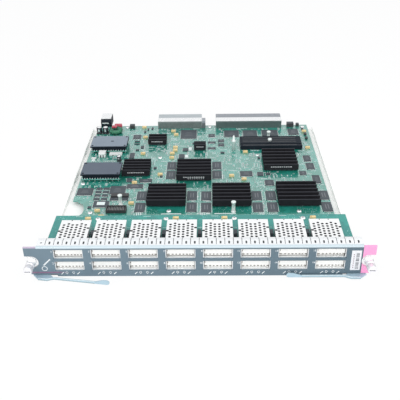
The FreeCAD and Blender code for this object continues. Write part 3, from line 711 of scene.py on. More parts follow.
# Low header.
# A black box header with a row of tinned pins in its well.
x0, x1, y0, y1, z0, z1 = islands("edge_connector")[0]
wall = 1.1
header = one(add_block, x0, x1, y0, y1, z0, z0 + 1.4)
for sides in (
    (x0, x1, y0, y0 + wall), (x0, x1, y1 - wall, y1),
    (x0, x0 + wall, y0 + wall, y1 - wall), (x1 - wall, x1, y0 + wall, y1 - wall),
):
    add_block(header, *sides, z0 + 1.4, z1, soft=0.25)
made("header_box", header, [foot_black], ["edge_connector"])
strip = one(add_block, -120, -96.5, 156, 163.5, 8, 12, soft=0.4)
made("strip_header", strip, [foot_black])
pins = [(x0 + 2.4 + 2 * i, y0 + 3.2 + 3.2 * j, z0 + 1.4, 0, whole) for i in range(11) for j in range(3)]
pin = one(add_block, -0.3, 0.3, -0.3, 0.3, 0, 2.4, soft=0.1)
set_out("header_pins", pin, pins, leg_tin)

# Power converters.
# Each is a small green board on pins, with a potted black core and a slate plate with four threaded holes,
# drawn as flat discs in painted shade.
slate = finish(
    "rear converter plate", (0.255, 0.315, 0.38), (0.18, 0.23, 0.29), (0.3, 0.42), metal=0.3, cloud=60
)
dark_slate = finish(
    "front converter plate", (0.1, 0.13, 0.175), (0.07, 0.095, 0.135), (0.3, 0.42), metal=0.3
)
potting = finish(
    "potted core", (0.012, 0.019, 0.028), (0.007, 0.011, 0.018), (0.5, 0.65), shine=0.14, bump=0.2
)
painted_hole_shade = finish("painted hole shade", (0.02, 0.02, 0.022), (0.01, 0.01, 0.012), (0.7, 0.8), shine=0.05)
brick_parts = []
for name, plate in (("front_power_converter", dark_slate), ("rear_power_converter", slate)):
    boxes = islands(name)
    x0, y0 = min(b[0] for b in boxes), min(b[2] for b in boxes)
    x1, y1, top = max(b[1] for b in boxes), max(b[3] for b in boxes), max(b[5] for b in boxes)
    brick = bmesh.new()
    add_block(brick, x0, x1, y0, y1, 10.6, 12.2, layer=1, soft=0.15)
    add_block(brick, x0 + 2.4, x1 - 2.4, y0 + 2, y1 - 2, 12.2, 17.4, layer=2, soft=0.4)
    add_block(brick, x0, x1, y0, y1, 17.4, top - 0.3, layer=2, soft=0.2)
    add_block(brick, x0 + 0.4, x1 - 0.4, y0 + 0.4, y1 - 0.4, top - 0.4, top - 0.05, layer=0, soft=0.1)
    # The threaded holes are flat dark discs on the plate: painted shade.
    for x in (x0 + 3.2, x1 - 3.2):
        for y in (y0 + 3.2, y1 - 3.2):
            add_turned(brick, [(1.6, 0), (1.6, 0.05)], x, y, top - 0.06, steps=20, layer=3)
    if plate == slate:
        mx, my = (x0 + x1) / 2 + 4, (y0 + y1) / 2
        oval = [(mx + 2.6 * math.cos(t), my + 1.5 * math.sin(t)) for t in around(18)]
        add_prism(brick, oval, "z", top - 0.06, top - 0.02, layer=2)
    for i in range(7):
        for y in (y0 + 2, y1 - 2):
            x = x0 + 3 + (x1 - x0 - 6) * i / 6
            add_turned(brick, [(0.55, 0), (0.55, 2.8)], x, y, board_top, steps=10, layer=4)
    brick_finishes = [plate, board_green, potting, painted_hole_shade, leg_tin]
    made(name + "_brick", brick, brick_finishes, [name])
    for i in range(15):
        x = x0 + 2 + (x1 - x0 - 4) * i / 14
        brick_parts.append((x, y0 + 1, 12.2, chance.choice((0, 90)), (1, 0.9, 2.2)))
set_out("converter_parts", ceramic_chip(0.7, 0.4), brick_parts, small_part)

# Add-on board connector and its posts.
# A long black receptacle with two rows of contact slots, and turned nickel posts with rounded tops.
x0, x1, y0, y1, z0, z1 = islands("mezzanine_connector")[0]
receptacle = one(add_prism, [
    (y0 + 0.3, z0), (y0, z0 + 0.3), (y0, z1 - 0.5), (y0 + 0.5, z1), (y0 + 5.6, z1), (y0 + 6, z1 - 2),
    (y0 + 8, z1 - 2), (y0 + 8.4, z1), (y1 - 0.5, z1), (y1, z1 - 0.5), (y1, z0),
], "x", x0 - 1.5, x1 + 4)
made("receptacle", receptacle, [potting], ["mezzanine_connector"])
slit_pitch = 1.27
slits = [
    (x0 + 3 + slit_pitch * i, y, z1, 0, whole)
    for i in range(int((x1 - x0 - 6) / slit_pitch)) for y in (y0 + 3, y1 - 6.5, y1 - 14, y1 - 19.5)
]
slot_grey = finish("contact slots", (0.075, 0.08, 0.085), (0.045, 0.048, 0.05), (0.4, 0.5))
slit = (-0.35, 0.35, -1.1, 1.1, -0.02, 0.03)
set_out_blocks("receptacle_slots", slit, slits, slot_grey)
post_plate = finish("post plate", (0.88, 0.93, 0.91), (0.7, 0.78, 0.76), (0.15, 0.3), metal=0.15)
posts = bmesh.new()
for x0, x1, y0, y1, z0, z1 in islands("mezzanine_posts"):
    r, top = (y1 - y0) / 2 * 0.98, z1 - z0
    if top > 20:
        profile = [
            (r * 0.9, 0), (r * 0.8, 13.5), (r, 14.2), (r, 15.8), (r * 0.6, 16.4), (1.3, 23), (0.6, 24),
        ]
    elif top > 8:
        profile = [
            (r, 0), (r, 1.2), (r * 0.74, 1.6), (r * 0.74, top - 2.4), (r, top - 2), (r, top - 0.5),
            (r * 0.7, top),
        ]
    else:
        profile = [(r, 0), (r, top - 0.6), (r * 0.75, top)]
    add_turned(posts, profile, (x0 + x1) / 2, (y0 + y1) / 2, z0)
made("turned_posts", posts, [post_plate], ["mezzanine_posts"])

# Chassis connectors.
# Rows of thin moulded wafers under a bright shield at the front; the mating part behind has rows of holes.
wafer_grey = finish("connector wafer", (0.25, 0.3, 0.29), (0.12, 0.15, 0.145), (0.35, 0.5), cloud=160)
dark_grey = finish("mating part", (0.15, 0.165, 0.175), (0.1, 0.11, 0.12), (0.35, 0.5), cloud=160)
# Painted highlight: the mating part is painted lighter near its top, most of all on the left; painted shade:
# the wafers on the right are painted darker.
top_part = ("Z", 0.0165, 0.0175)
paint_zone(dark_grey, (0.3, 0.32, 0.35), top_part)
paint_zone(dark_grey, (0.46, 0.5, 0.52), ("X", 0.001, -0.001), top_part)
paint_zone(wafer_grey, (0.1, 0.15, 0.145), ("X", -0.001, 0.001))
shield_bright = finish("connector shield", (0.86, 0.87, 0.875), (0.79, 0.8, 0.805), (0.2, 0.35), metal=0.3)
wafers = []
rear_wafers = []
holes = []
shields = bmesh.new()
for name in ("left_plane_connector", "right_plane_connector"):
    x0, x1, y0, y1, z0, z1 = islands(name)[0]
    if name.startswith("left"):
        x1 -= 6
        add_block(shields, x1 + 0.4, x1 + 6, y0 + 0.5, y0 + 13.5, z0, z1 - 0.2, layer=1, soft=0.4)
    add_block(shields, x0, x1, y0 + 0.4, y0 + 14, z1 - 1, z1, soft=0.3)
    add_block(shields, x0, x1, y0 + 1.4, y1 - 1, z0, z1 - 1.6, layer=1)
    count = int((x1 - x0) / 1.9)
    for i in range(count):
        x = x0 + (x1 - x0) * (i + 0.5) / count
        wafers.append((x, y0, z0, 0, whole))
        rear_wafers.append((x, y0 + 14, z0, 0, whole))
        holes += [(x, y1, z0 + 2 + 2 * j, 0, whole) for j in range(5)]
replaced = ["left_plane_connector", "right_plane_connector"]
made("connector_shields", shields, [shield_bright, dark_grey], replaced)
wafer = one(add_prism, [(0, 0), (0, 10.6), (0.8, 11.6), (2.2, 11.6), (2.2, 0)], "x", -0.72, 0.72)
set_out("connector_wafers", wafer, wafers, wafer_grey)
wafer = one(add_prism, [
    (0.1, 0), (0.1, 11.5), (5.2, 11.5), (5.5, 10.4), (7, 10.4), (7.3, 11.5), (11.2, 11.5), (11.5, 10.4),
    (13, 10.4), (13.3, 11.5), (17.4, 11.5), (18, 10.9), (18, 0),
], "x", -0.8, 0.8)
set_out("mating_wafers", wafer, rear_wafers, dark_grey)
# The holes are thin dark patches on the rear face: painted shade.
hole = (-0.4, 0.4, -0.03, 0.02, -0.5, 0.5)
set_out_blocks("mating_holes", hole, holes, painted_hole_shade)
x0, x1, y0, y1, z0, z1 = islands("power_connector")[0]
x0 += 3
inlet_side = [(y0, z0), (y0, z1 - 5.2), (y0 + 3.6, z1 - 1.6), (y1, z1 - 1.6), (y1, z0)]
inlet = one(add_prism, inlet_side, "x", x0, x1)
add_block(inlet, x0 + 0.4, x1 - 0.4, y0 + 2.5, y1, z1 - 1.6, z1, layer=1, soft=0.4)
add_block(inlet, x0 + 2, x1 - 4, y0 - 0.04, y0 + 1, z0 + 5, z0 + 7.5, layer=1, soft=0.3)
# The inlet's openings at the back are thin dark blocks: painted shade.
for i in range(4):
    x = x0 + 2 + 4.4 * i
    add_block(inlet, x - 0.7, x + 0.7, y1 - 0.04, y1, z0 + 3, z1 - 4, layer=2)
made("power_inlet", inlet, [potting, shield_bright, painted_hole_shade], ["power_connector"])

# Screws, pillars and studs.
# Pan-head steel screws with a cross recess hold both boards; hexagonal pillars stand between them.
nickel = finish("nickel plate", (0.93, 0.93, 0.92), (0.8, 0.81, 0.81), (0.2, 0.35), metal=0.5)
dress(nickel, "port_board_spacers", "board_spacers")
head = one(add_turned, [(3, 0), (3.15, 0.4), (2.9, 1.1), (2.2, 1.6), (1.2, 1.78)], 0, 0, 0, steps=24)
bright_screw = finish("bright screw", (0.93, 0.94, 0.95), (0.82, 0.84, 0.85), (0.2, 0.35), metal=0.6)
heads = [((b[0] + b[1]) / 2, (b[2] + b[3]) / 2, b[4], 0, whole) for b in islands("board_screws")]
set_out("screw_heads", head, heads, bright_screw, ["board_screws"], smooth=True)
# The cross recess is a thin dark cross laid on the head: painted shade.
cross = one(add_block, -1.5, 1.5, -0.3, 0.3, 1.7, 1.79)
add_block(cross, -0.3, 0.3, -1.5, 1.5, 1.7, 1.79)
crosses = [(x, y, z, 25, size) for x, y, z, turn, size in heads]
set_out("screw_crosses", cross, crosses, painted_hole_shade)

# Port board.
# A second board above the main one, in a paler green mask; it carries all sixteen ports.
port_green = finish("port board mask", (0.036, 0.25, 0.225), (0.026, 0.205, 0.185), (0.3, 0.45), bump=0.02)
printed_circuit(port_green, 500, 170, {"Coat Weight": 0.5, "Coat Roughness": 0.15})
dress(port_green, "port_board")
dress(foot_black, "stack_connector", "upper_port_sockets", "lower_port_sockets")
soften(0.3, "upper_port_sockets", "lower_port_sockets")
columns = [41.5 * (i - 3.5) for i in range(8)]
half_gap = 20.75
port_top = 23.65
screws_across = (-126.5, -42.6, 40.9, 125.3, -112.5, -54.6, 26.9, 139.3)
port_parts = []
port_lines = []
for number, x in enumerate(columns):
    for i in range(10):
        px = x - 14 + 3.1 * i
        if min(abs(px - screw) for screw in screws_across) > 6:
            port_parts.append((px, 66.5 + 2.2 * (i % 3), port_top, 90 * (i % 2), whole))
    if number:
        gap = x - half_gap
        for i in range(7):
            side = (-1.6, 1.6, 0.4)[i % 3]
            port_parts.append((gap + side, 28.5 + 4.3 * i, port_top, 0, (1, 1, 1.2)))
        port_lines.append((gap, 62.5, port_top, 0, (5.5, 0.4, 1)))
port_lines += [(x - 3, 87.5, port_top, 0, (9, 0.5, 1)) for x in columns[::2]]
set_out("port_board_parts", ceramic_chip(0.8, 0.42), port_parts, small_part)
# Dark blocks in the gaps between the cages, standing for the shade there: painted shade.
gap_shade = bmesh.new()
for x in columns[1:]:
    for x0, x1, y0, y1, top in (
        (23.4, 18.2, 13, 30, 26), (23, 18.4, 40, 48.5, 30.4),
        (23, 18.6, 31.2, 38.6, 24.8), (22.4, 19.4, 50.5, 54.5, 24.8),
    ):
        add_block(gap_shade, x - x0, x - x1, y0, y1, port_top, top, soft=0.3)
made("port_board_blocks", gap_shade, [chip_plastic])
set_out_blocks("port_board_print", print_dash, port_lines, silk_white)

# Port cages and their perforated covers.
# Thin tin-plated steel; each cover is punched with six rows of six round holes and latched at both sides.
tin_plate = finish("tin plate", (0.91, 0.915, 0.915), (0.85, 0.86, 0.865), (0.3, 0.45), bump=0.03)
feed(tin_plate.node_tree, tin_plate.node_tree.nodes["Principled BSDF"], {
    "Metallic": past(tin_plate, "Z", 0.036, 0.0354, 0.35, 0.95),
})
dress(tin_plate, "upper_port_cages", "lower_port_cages")
cage_floors = bmesh.new()
for x in columns:
    add_block(cage_floors, x - 16.2, x + 16.2, 3.5, 58.5, 23.66, 23.78)
    add_block(cage_floors, x - 15.4, x + 15.4, 2.9, 4.3, 23.7, 25.1, soft=0.2)
made("cage_floors", cage_floors, [tin_plate])


def punched_tree():
    """Geometry nodes that cut a round hole at each point out of a flat sheet, and make it thick."""
    group, given, result = new_group("punched sheet", "GeometryNodeTree", {
        "Geometry": "Geometry", "Width": "Float", "Depth": "Float", "Hole Radius": "Float",
        "Thickness": "Float", "Finish": "Material",
    }, {"Geometry": "Geometry"})
    edge = add_node(group, "GeometryNodeCurvePrimitiveQuadrilateral", {
        "Width": given["Width"], "Height": given["Depth"],
    })
    circle = add_node(group, "GeometryNodeCurvePrimitiveCircle", {
        "Resolution": 14, "Radius": given["Hole Radius"],
    })
    put = add_node(group, "GeometryNodeInstanceOnPoints", {"Points": given["Geometry"], "Instance": circle})
    real = add_node(group, "GeometryNodeRealizeInstances", {"Geometry": put})
    joined = add_node(group, "GeometryNodeJoinGeometry", {"Geometry": edge})
    feed(group, joined, {"Geometry": real})
    flat = add_node(group, "GeometryNodeFillCurve", {"Curve": joined})
    under = add_node(group, "GeometryNodeFlipFaces", {"Mesh": flat})
    push = add_node(group, "ShaderNodeCombineXYZ", {"Z": given["Thickness"]})
    thick = add_node(group, "GeometryNodeExtrudeMesh", {
        "Mesh": flat, "Offset": push, "Offset Scale": 1, "Individual": False,
    })
    sheet = add_node(group, "GeometryNodeJoinGeometry", {"Geometry": under})
    feed(group, sheet, {"Geometry": thick})
    solid = add_node(group, "GeometryNodeMergeByDistance", {"Geometry": sheet, "Distance": 1e-6})
    coat = add_node(group, "GeometryNodeSetMaterial", {"Geometry": solid, "Material": given["Finish"]})
    feed(group, result, {"Geometry": coat})
    return group


lid_top, latch_top = 36.15, 36.38
lid_holes = bpy.data.meshes.new("hole middles")
lid_holes.from_pydata([
    (x / 1000, (5 * row - 8.45 + (2.3 if column in (1, 4) else 0)) / 1000, 0)
    for column, x in enumerate((-13.1, -7.9, -3.1, 2.1, 7.2, 12.3)) for row in range(6)
], [], [])
lid = bmesh.new()
lid.from_mesh(grow(punched_tree(), lid_holes, {
    "Width": 0.035, "Depth": 0.0537, "Hole Radius": 0.00166, "Thickness": 0.00025, "Finish": tin_plate,
}))
for corner in lid.verts:
    corner.co = corner.co * 1000 + Vector((0, 0, lid_top))
# Dark tongues at the latch windows and dark marks near the rear edge of each cover: painted shade.
latch_shade = bmesh.new()
for side, y in ((-1, 3.75), (1, 9.75)):
    wall, nub, tongue = [
        sorted((side * a, side * b)) for a, b in ((17, 17.5), (16.6, 17.45), (14.6, 17.5))
    ]
    for y0, y1 in ((-26.85, y - 1.25), (y + 1.25, 26.85)):
        add_block(lid, *wall, y0, y1, 33.5, lid_top)
    add_block(lid, *nub, y - 1, y + 1, 34.4, 35.4, soft=0.2)
    add_block(latch_shade, *tongue, y - 1.4, y + 1.4, latch_top, latch_top + 0.05)
for x in (-12.2, 12.2):
    add_block(lid, x - 4.4, x + 4.4, 26.3, 26.8, 34.6, 35.95, soft=0.15)
for x in (-5.2, 5.2):
    add_block(latch_shade, x - 0.7, x + 0.7, 25, 26.4, latch_top, latch_top + 0.03)
cover_places = [(x, 33.65, 0, 0, whole) for x in columns]
set_out("perforated_covers", lid, cover_places, tin_plate, ["cage_covers"])
set_out("cover_latches", latch_shade, cover_places, painted_hole_shade)
# A dark sheet under each lid, seen through its holes: painted shade inside the cage.
shade_sheet = (-16.9, 16.9, -19.5, 26, 35.94, 36.08)
set_out_blocks("cover_linings", shade_sheet, cover_places, painted_hole_shade)

# Port doors and hinge rods.
# Each door is a satin stainless flap hemmed round its rod, with a set-back lower band and a row of slots.
bright_steel = finish(
    "bright sheet", (0.98, 0.985, 0.985), (0.94, 0.945, 0.95), (0.25, 0.4), metal=0.5, stretch=8
)
door_steel = finish(
    "door sheet", (0.92, 0.915, 0.89), (0.875, 0.865, 0.835), (0.35, 0.5), metal=0.1, stretch=6
)
dress(bright_steel, "front_frame", "frame_dividers", "upper_hinge_rod", "lower_hinge_rod")
dress(bright_steel, "left_retaining_ring", "right_retaining_ring", "left_screw_spring", "right_screw_spring")
soften(0.25, "front_frame", "frame_dividers")
slot_shade = finish("door slot", (0.28, 0.27, 0.245), (0.18, 0.175, 0.16), (0.5, 0.6))
slots = (
    (-13.6, 1.4), (-8.8, 1), (-4.8, 0.8), (-0.8, 1), (3.2, 0.9), (7, 1), (10.2, 0.8), (13.9, 1.1),
)
rod_heights = {"upper": 34.2, "lower": 18.2}
rod_back = 4.5
hem_turns = [math.radians(180 - 25 * i) for i in range(13)]
for row, rod_z in rod_heights.items():
    hem = [
        (rod_back + r * math.cos(t), rod_z + r * math.sin(t))
        for r, turns in ((1.08, hem_turns), (0.67, hem_turns[::-1])) for t in turns
    ]
    foot = rod_z - 8.7
    knee = foot + 2.6
    band = [(3.42, knee + 0.4), (3.85, knee + 0.4), (4.85, knee - 1.4), (4.42, knee - 1.4)]
    for number, x in enumerate(columns, start=1):
        door = one(add_prism, hem, "x", x - 14, x + 14)
        add_block(door, x - 15.15, x + 15.15, 3.42, 3.85, knee + 0.4, rod_z - 0.2, soft=0.12)
        add_block(door, x - 15.15, x + 15.15, 4.42, 4.85, foot, knee - 1.4, soft=0.12)
        # Painted shadow: a small dark mark at the door's upper left corner, in the slot shade.
        add_block(door, x - 15, x - 14.1, 3.38, 3.45, rod_z - 2.2, rod_z - 0.6, layer=1)
        for a, w in slots:
            add_block(door, x + a - w, x + a + w, 3.9, 4.25, knee - 1.35, knee + 0.5, layer=1)
        for (a, w), (b, v) in zip(slots, slots[1:]):
            add_prism(door, band, "x", x + a + w + 0.05, x + b - v - 0.05)
        body = "%s_door_%d" % (row, number)
        name = "%s_door_flap_%d" % (row, number)
        made(name, door, [door_steel, slot_shade], [body], body)

# Finger gasket.
# Springy tin-plated strip clipped over the top edge; each finger has a slot at its root and arches up.
gasket_tin = finish("gasket strip", (0.86, 0.875, 0.885), (0.78, 0.8, 0.82), (0.3, 0.42), metal=0.35)
# Painted reflection: the front lip and the front of the top are painted bluer and darker than the rest of
# the strip.
paint_zone(gasket_tin, (0.61, 0.715, 0.77), ("Y", -0.1909, -0.1916))
strip = one(add_prism, [
    (-0.35, 38.8), (-0.35, 40.8), (-0.2, 40.95), (2, 40.95), (2.35, 40.75), (4.4, 40.75), (4.4, 40.4),
    (2.05, 40.4), (1.8, 40.6), (0, 40.6), (0, 38.8),
], "x", -179.6, 179.6)
made("gasket_strip", strip, [gasket_tin], ["finger_gasket"])
fingers = 38
pitch = 2 * 179.6 / fingers
half = pitch / 2 - 0.35
finger = bmesh.new()
arch = [(4.4, 0), (6.2, 0.42), (8.2, 0.9), (10.8, 1.42), (13.2, 1), (15.4, 0.5), (17.2, 0)]
for (y0, z0), (y1, z1) in zip(arch, arch[1:]):
    for a, b in [(-half, -1), (1, half)] if y0 == 6.2 else [(-half, half)]:
        add_prism(finger, [(y0, z0), (y0, z0 + 0.35), (y1, z1 + 0.35), (y1, z1)], "x", a, b)
finger_places = [(-179.6 + pitch * (i + 0.5), 0, 40.4, 0, whole) for i in range(fingers)]
set_out("gasket_fingers", finger, finger_places, gasket_tin)
notch = one(add_block, -0.24, 0.24, 4.45, 17, 0, 0.3)
add_prism(notch, [
    (5.2, 0.45), (5.2, 0.56), (6.2, 0.8), (8.2, 1.28), (9, 1.43), (9, 1.2),
], "x", pitch / 2 - 1, pitch / 2 + 0.8)
shadow = finish("gasket slot", (0.06, 0.065, 0.07), (0.035, 0.038, 0.042), (0.5, 0.6))
notch_places = [(x + pitch / 2, y, z, turn, size) for x, y, z, turn, size in finger_places[:-1]]
set_out("gasket_slots", notch, notch_places, shadow)

# Faceplate.
# A punched sheet with a powder coat in dark blue grey, turning pink at its right end.
# It is laid on the front frame, held by the two screw ferrules and printed in pale ink.
face_paint = finish("faceplate paint", (0.153, 0.219, 0.268), (0.126, 0.186, 0.229), (0.42, 0.55), bump=0.12)
# Painted shade: the paint grows darker from the left end towards the right.
paint_zone(face_paint, (0.088, 0.138, 0.172), ("X", -0.17, 0.19))
paint_zone(face_paint, (0.93, 0.35, 0.6), ("X", 0.17975, 0.18005))
paint_zone(face_paint, (0.5, 0.42, 0.54), ("X", -0.158, -0.18), ("Z", 0.0388, 0.0397))
paint_zone(
    face_paint, (0.24, 0.14, 0.22), ("X", -0.146, -0.16), ("Z", 0.0072, 0.0066), ("Z", 0.0046, 0.005)
)
dress(face_paint, "faceplate")
soften(0.2, "faceplate")
ink = finish("pale ink", (0.93, 0.95, 0.95), (0.84, 0.87, 0.88), (0.5, 0.6))
ink_face = -0.03
printing = bmesh.new()


def add_ring(shape, x, z, radius, wide, steps=28):
    """A printed ring on the faceplate."""
    inner, outer = [
        [shape.verts.new((x + r * math.cos(t), ink_face, z + r * math.sin(t))) for t in around(steps)]
        for r in (radius - wide / 2, radius + wide / 2)
    ]
    for i in range(steps):
        j = (i + 1) % steps
        shape.faces.new((inner[i], inner[j], outer[j], outer[i]))


def add_line(shape, x0, z0, x1, z1, wide):
    """A printed line on the faceplate."""
    a, b = Vector((x0, ink_face, z0)), Vector((x1, ink_face, z1))
    side = Vector((0, 1, 0)).cross((b - a).normalized()) * wide / 2
    shape.faces.new([shape.verts.new(p) for p in (a - side, b - side, b + side, a + side)])


add_ring(printing, -173.4, 11.3, 2.9, 0.6)
for i in range(7):
    add_line(printing, -174 + 1.2 * i, 15.9 + 1.2 * i, -173.1 + 1.2 * i, 16.8 + 1.2 * i, 1.6)
for column in columns:
    for side in (-1, 1):
        x, bar = column + side * 3.8, column + side * 9
        add_ring(printing, x, 5.6, 1.35, 0.45, steps=6)
        add_line(printing, x, 3.4, x, 4.3, 0.5)
        add_line(printing, bar - 1.4, 3.2, bar + 1.6, 6.2, 0.8)
for face in printing.faces:
    face.normal_update()
    if face.normal.y > 0:
        face.normal_flip()
made("face_print", printing, [ink])
for number in range(16):
    words = bpy.data.curves.new("port number", "FONT")
    words.body = str(number + 1)
    words.size = 0.0034
    words.extrude = 0.00001
    words.align_x = "RIGHT"
    numeral = solved(bpy.data.objects.new("port number", words))
    height = rod_heights["lower" if number % 2 else "upper"] - 0.9
    spot = card(columns[number // 2] - 17.1, ink_face, height)
    numeral.transform(Matrix.Translation(spot) @ Matrix.Rotation(math.radians(90), 4, "X"))
    numeral.materials.clear()
    numeral.materials.append(ink)
    put_in_place("port_number_%d" % (number + 1), numeral)
label_white = finish("paper label", (0.76, 0.77, 0.8), (0.7, 0.71, 0.74), (0.5, 0.6))
label_line = finish("label line", (0.2, 0.21, 0.23), (0.12, 0.125, 0.14), (0.5, 0.6))
label_rose = finish("label rose", (0.42, 0.35, 0.38), (0.32, 0.27, 0.3), (0.5, 0.6))
label = one(add_block, 167.4, 178.2, -0.08, 0, 7.5, 34.3)
for i in range(11):
    z = 9.6 + 2.05 * i
    add_block(label, 172.6, 176.2, -0.1, -0.06, z, z + (1.3, 0.8, 1.5)[i % 3], layer=1)
for i in range(7):
    add_block(label, 169.6, 170.9, -0.1, -0.06, 10.5 + 2.9 * i, 12.2 + 2.9 * i, layer=2)
made("side_label", label, [label_white, label_line, label_rose])

# Levers and their rivets.
# Folded sheet steel in a pale blue paint, each riveted to an ear of the carrier with a domed rivet.
# Drawn from the rivet outwards: a base, a narrow arm with a turned-down edge, and a leaf-shaped tab.
lever_paint = finish("lever paint", (0.45, 0.6, 0.68), (0.37, 0.51, 0.6), (0.28, 0.4), metal=0.2)
# Painted highlight along the top of the fold, and painted shade on the turned-down front edge.
painted_fold_highlight = finish("painted highlight on the fold", (0.84, 0.93, 0.95), (0.74, 0.85, 0.88), (0.2, 0.3))
painted_edge_shade = finish("painted shade on the edge", (0.24, 0.35, 0.38), (0.18, 0.28, 0.31), (0.3, 0.4))
rivet_side, rivet_back = 178, 6.4
half_turn = around(20)[:11]
bore = [(2.06 * math.cos(t), 2.06 * math.sin(t)) for t in half_turn]
heel = [(5 * math.cos(t), -5 * math.sin(t)) for t in half_turn]
leaf = [(78.4 + 2.8 * math.sin(t), 3.3 - 2.8 * math.cos(t)) for t in around(16)[:9]]
front = [(-1, 13.6), (9.5, 13.6), (16.5, 10.2), (64, 10.2)]
inner = [(64, 9), (16.1, 9), (9.1, 12.4), (-1.4, 12.4)]
fold = [
    (-1, 13.5), (9.5, 13.5), (16.5, 10.1), (64, 10.1),
    (64, 9.1), (16.2, 9.1), (9.2, 12.3), (-1.2, 12.3),
]
lever_forms = (
    ([(-8.4, 7.6)] + front + [(64, 8.2), (15, 8.2), (5, 0)] + bore + [(-5, 0)], "z", 1.2, 2.7, 0),
    (heel + [(a, -b) for a, b in reversed(bore)], "z", 1.2, 2.7, 0),
    (front + inner, "z", 0.5, 1.2, 2),
    (fold, "z", 2.6, 2.74, 1),
    ([(64, 0.5)] + leaf + [(74, 6.1), (64, 2.9)], "y", 9, 10.2, 0),
)
for name, side, swing in (("right_lever", 1, 0), ("left_lever", -1, -9)):
    lever = bmesh.new()
    for form in lever_forms:
        add_prism(lever, *form)
    turn = Matrix.Rotation(math.radians(swing), 3, "Z")
    for corner in lever.verts:
        x, y, z = corner.co
        corner.co = turn @ Vector((-side * x, -y, z)) + Vector((side * rivet_side, rivet_back, 0))
    bmesh.ops.recalc_face_normals(lever, faces=lever.faces)
    lever_finishes = [lever_paint, painted_fold_highlight, painted_edge_shade]
    made(name.replace("lever", "bent_lever"), lever, lever_finishes, [name], name)
rivets = bmesh.new()
rivet_profile = [(2, 0), (2, 1.6), (3, 1.65), (2.9, 2.1), (2.2, 2.5), (1, 2.59)]
for side in (-1, 1):
    add_turned(rivets, rivet_profile, side * rivet_side, rivet_back, 1.2, steps=24)
made("domed_rivets", rivets, [bright_steel], ["lever_pivots"])

# Captive screws and ferrules.
# Turned brass with nickel plate: a knurled hollow knob on a shank, guided by a pressed-in ferrule.
knob_nickel = finish("knob plate", (0.94, 0.93, 0.95), (0.83, 0.82, 0.86), (0.25, 0.38), metal=0.35)
screw_sides = {"left": -187.3, "right": 187.3}
screw_height = 20
ferrules = bmesh.new()
for x in screw_sides.values():
    add_turned(ferrules, [
        (3.55, -5.4), (3.55, 0.2), (5.5, 0.25), (5.5, 1.2), (5.2, 1.6), (3.95, 1.6), (3.95, 4.1), (2.05, 4.2)
    ], x, 0, screw_height, along="y", steps=36)
made("pressed_ferrules", ferrules, [bright_steel], ["screw_ferrules"])
for name, x in screw_sides.items():
    knob = one(add_turned, [
        (4.3, -12.4), (4.3, -4.9), (4.85, -4.9), (-4.95, -5.4), (-4.95, -8.4), (4.5, -8.6), (4.5, -9.4),
        (-4.95, -9.6), (-4.95, -16.2), (4.7, -16.8), (4.4, -17.2), (4.4, -17.6), (4, -18), (3.4, -18),
        (3.4, -17.5),
    ], x, 0, screw_height, along="y", steps=56, flutes=0.28)
    # The screwdriver slot is a thin dark bar on the knob's face: painted shade.
    add_block(knob, x - 3.2, x + 3.2, -17.54, -17.45, screw_height - 0.5, screw_height + 0.5, layer=1)
    add_turned(knob, [(2, -12.4), (2, 8.2), (1.5, 9.2)], x, 0, screw_height, along="y", steps=20)
    knob_finishes, replaced = [knob_nickel, label_line], [name + "_captive_screw"]
    made(name + "_knurled_screw", knob, knob_finishes, replaced, name + "_screw")

# Screw springs.
# Spring-steel wire wound in three turns, held between the ferrule and the knob's head; a push squeezes it.
coil_radius, wire_radius, coil_steps = 3, 0.28, 60
for name, x in screw_sides.items():
    rings = []
    for i in range(coil_steps + 1):
        t = 2 * math.pi * i / 20
        ring = []
        for s in around(6):
            r = coil_radius + wire_radius * math.cos(s)
            y = -12.05 + 6.3 * i / coil_steps + wire_radius * math.sin(s)
            ring.append((x + r * math.cos(t), y, screw_height + r * math.sin(t)))
        rings.append(ring)
    coil, replaced = one(add_skin, rings), [name + "_screw_spring"]
    spring = made(name + "_coil_spring", coil, [bright_steel], replaced)
    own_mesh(spring)

# Floor, light and camera.
# The card lies on a pale floor in soft light; floor and backdrop show white, and the floor keeps the shadow.
ground = bpy.data.meshes.new("floor")
ground.from_pydata([(-6, -6, 0), (6, -6, 0), (6, 6, 0), (-6, 6, 0)], [], [(0, 1, 2, 3)])
floor = bpy.data.objects.new("floor", ground)
bpy.context.collection.objects.link(floor)


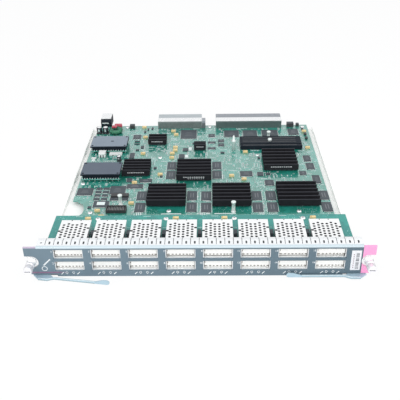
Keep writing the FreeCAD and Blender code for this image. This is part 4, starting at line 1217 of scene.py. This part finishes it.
def seen_as(tree, share, surface, white, end):
    """Show white where the camera or a mirror looks straight at a surface, by a share."""
    seen = add_node(tree, "ShaderNodeLightPath", {})
    either = add_node(tree, "ShaderNodeMath", {
        0: seen.outputs["Is Camera Ray"], 1: seen.outputs["Is Glossy Ray"],
    }, operation="MAXIMUM")
    part = add_node(tree, "ShaderNodeMath", {0: either, 1: share}, operation="MULTIPLY")
    blend = add_node(tree, "ShaderNodeMixShader", {"Fac": part, 1: surface, 2: white})
    feed(tree, end, {"Surface": blend})


floor_white = bpy.data.materials.new("floor white")
floor_white.use_nodes = True
tree = floor_white.node_tree
pale = tree.nodes["Principled BSDF"]
feed(tree, pale, {"Base Color": (0.95, 0.95, 0.95, 1), "Roughness": 0.8})
glow = add_node(tree, "ShaderNodeEmission", {"Strength": 1})
seen_as(tree, 0.88, pale, glow, tree.nodes["Material Output"])
ground.materials.append(floor_white)

world = bpy.data.worlds.new("soft room")
bpy.context.scene.world = world
world.use_nodes = True
tree = world.node_tree
room = tree.nodes["Background"]
feed(tree, room, {"Color": (0.96, 0.98, 1, 1), "Strength": 0.75})
backdrop = add_node(tree, "ShaderNodeBackground", {"Color": (1, 1, 1, 1), "Strength": 1})
seen_as(tree, 1, room, backdrop, tree.nodes["World Output"])

for name, place, size, power in (
    ("key light", (-0.7, -1, 1.5), 1.2, 11.2),
    ("fill light", (1, -0.4, 1.2), 1, 5.2),
    ("front light", (0.15, -1.5, 0.45), 1.2, 5.8),
):
    lamp = bpy.data.lights.new(name, "AREA")
    lamp.size = size
    lamp.energy = power
    light = bpy.data.objects.new(name, lamp)
    light.location = place
    light.rotation_euler = (-Vector(place)).to_track_quat("-Z", "Y").to_euler()
    bpy.context.collection.objects.link(light)

lens = bpy.data.cameras.new("camera")
lens.lens = 56.54
lens.sensor_width = 36
camera = bpy.data.objects.new("camera", lens)
camera.matrix_world = Matrix.Translation((0.0135, -0.7523, 0.4417))
for turn, axis in ((1.19, "Z"), (90 - 31.45, "X"), (-0.98, "Z")):
    camera.matrix_world = camera.matrix_world @ Matrix.Rotation(math.radians(turn), 4, axis)
bpy.context.collection.objects.link(camera)
bpy.context.scene.camera = camera
bpy.context.scene.view_settings.view_transform = "Standard"
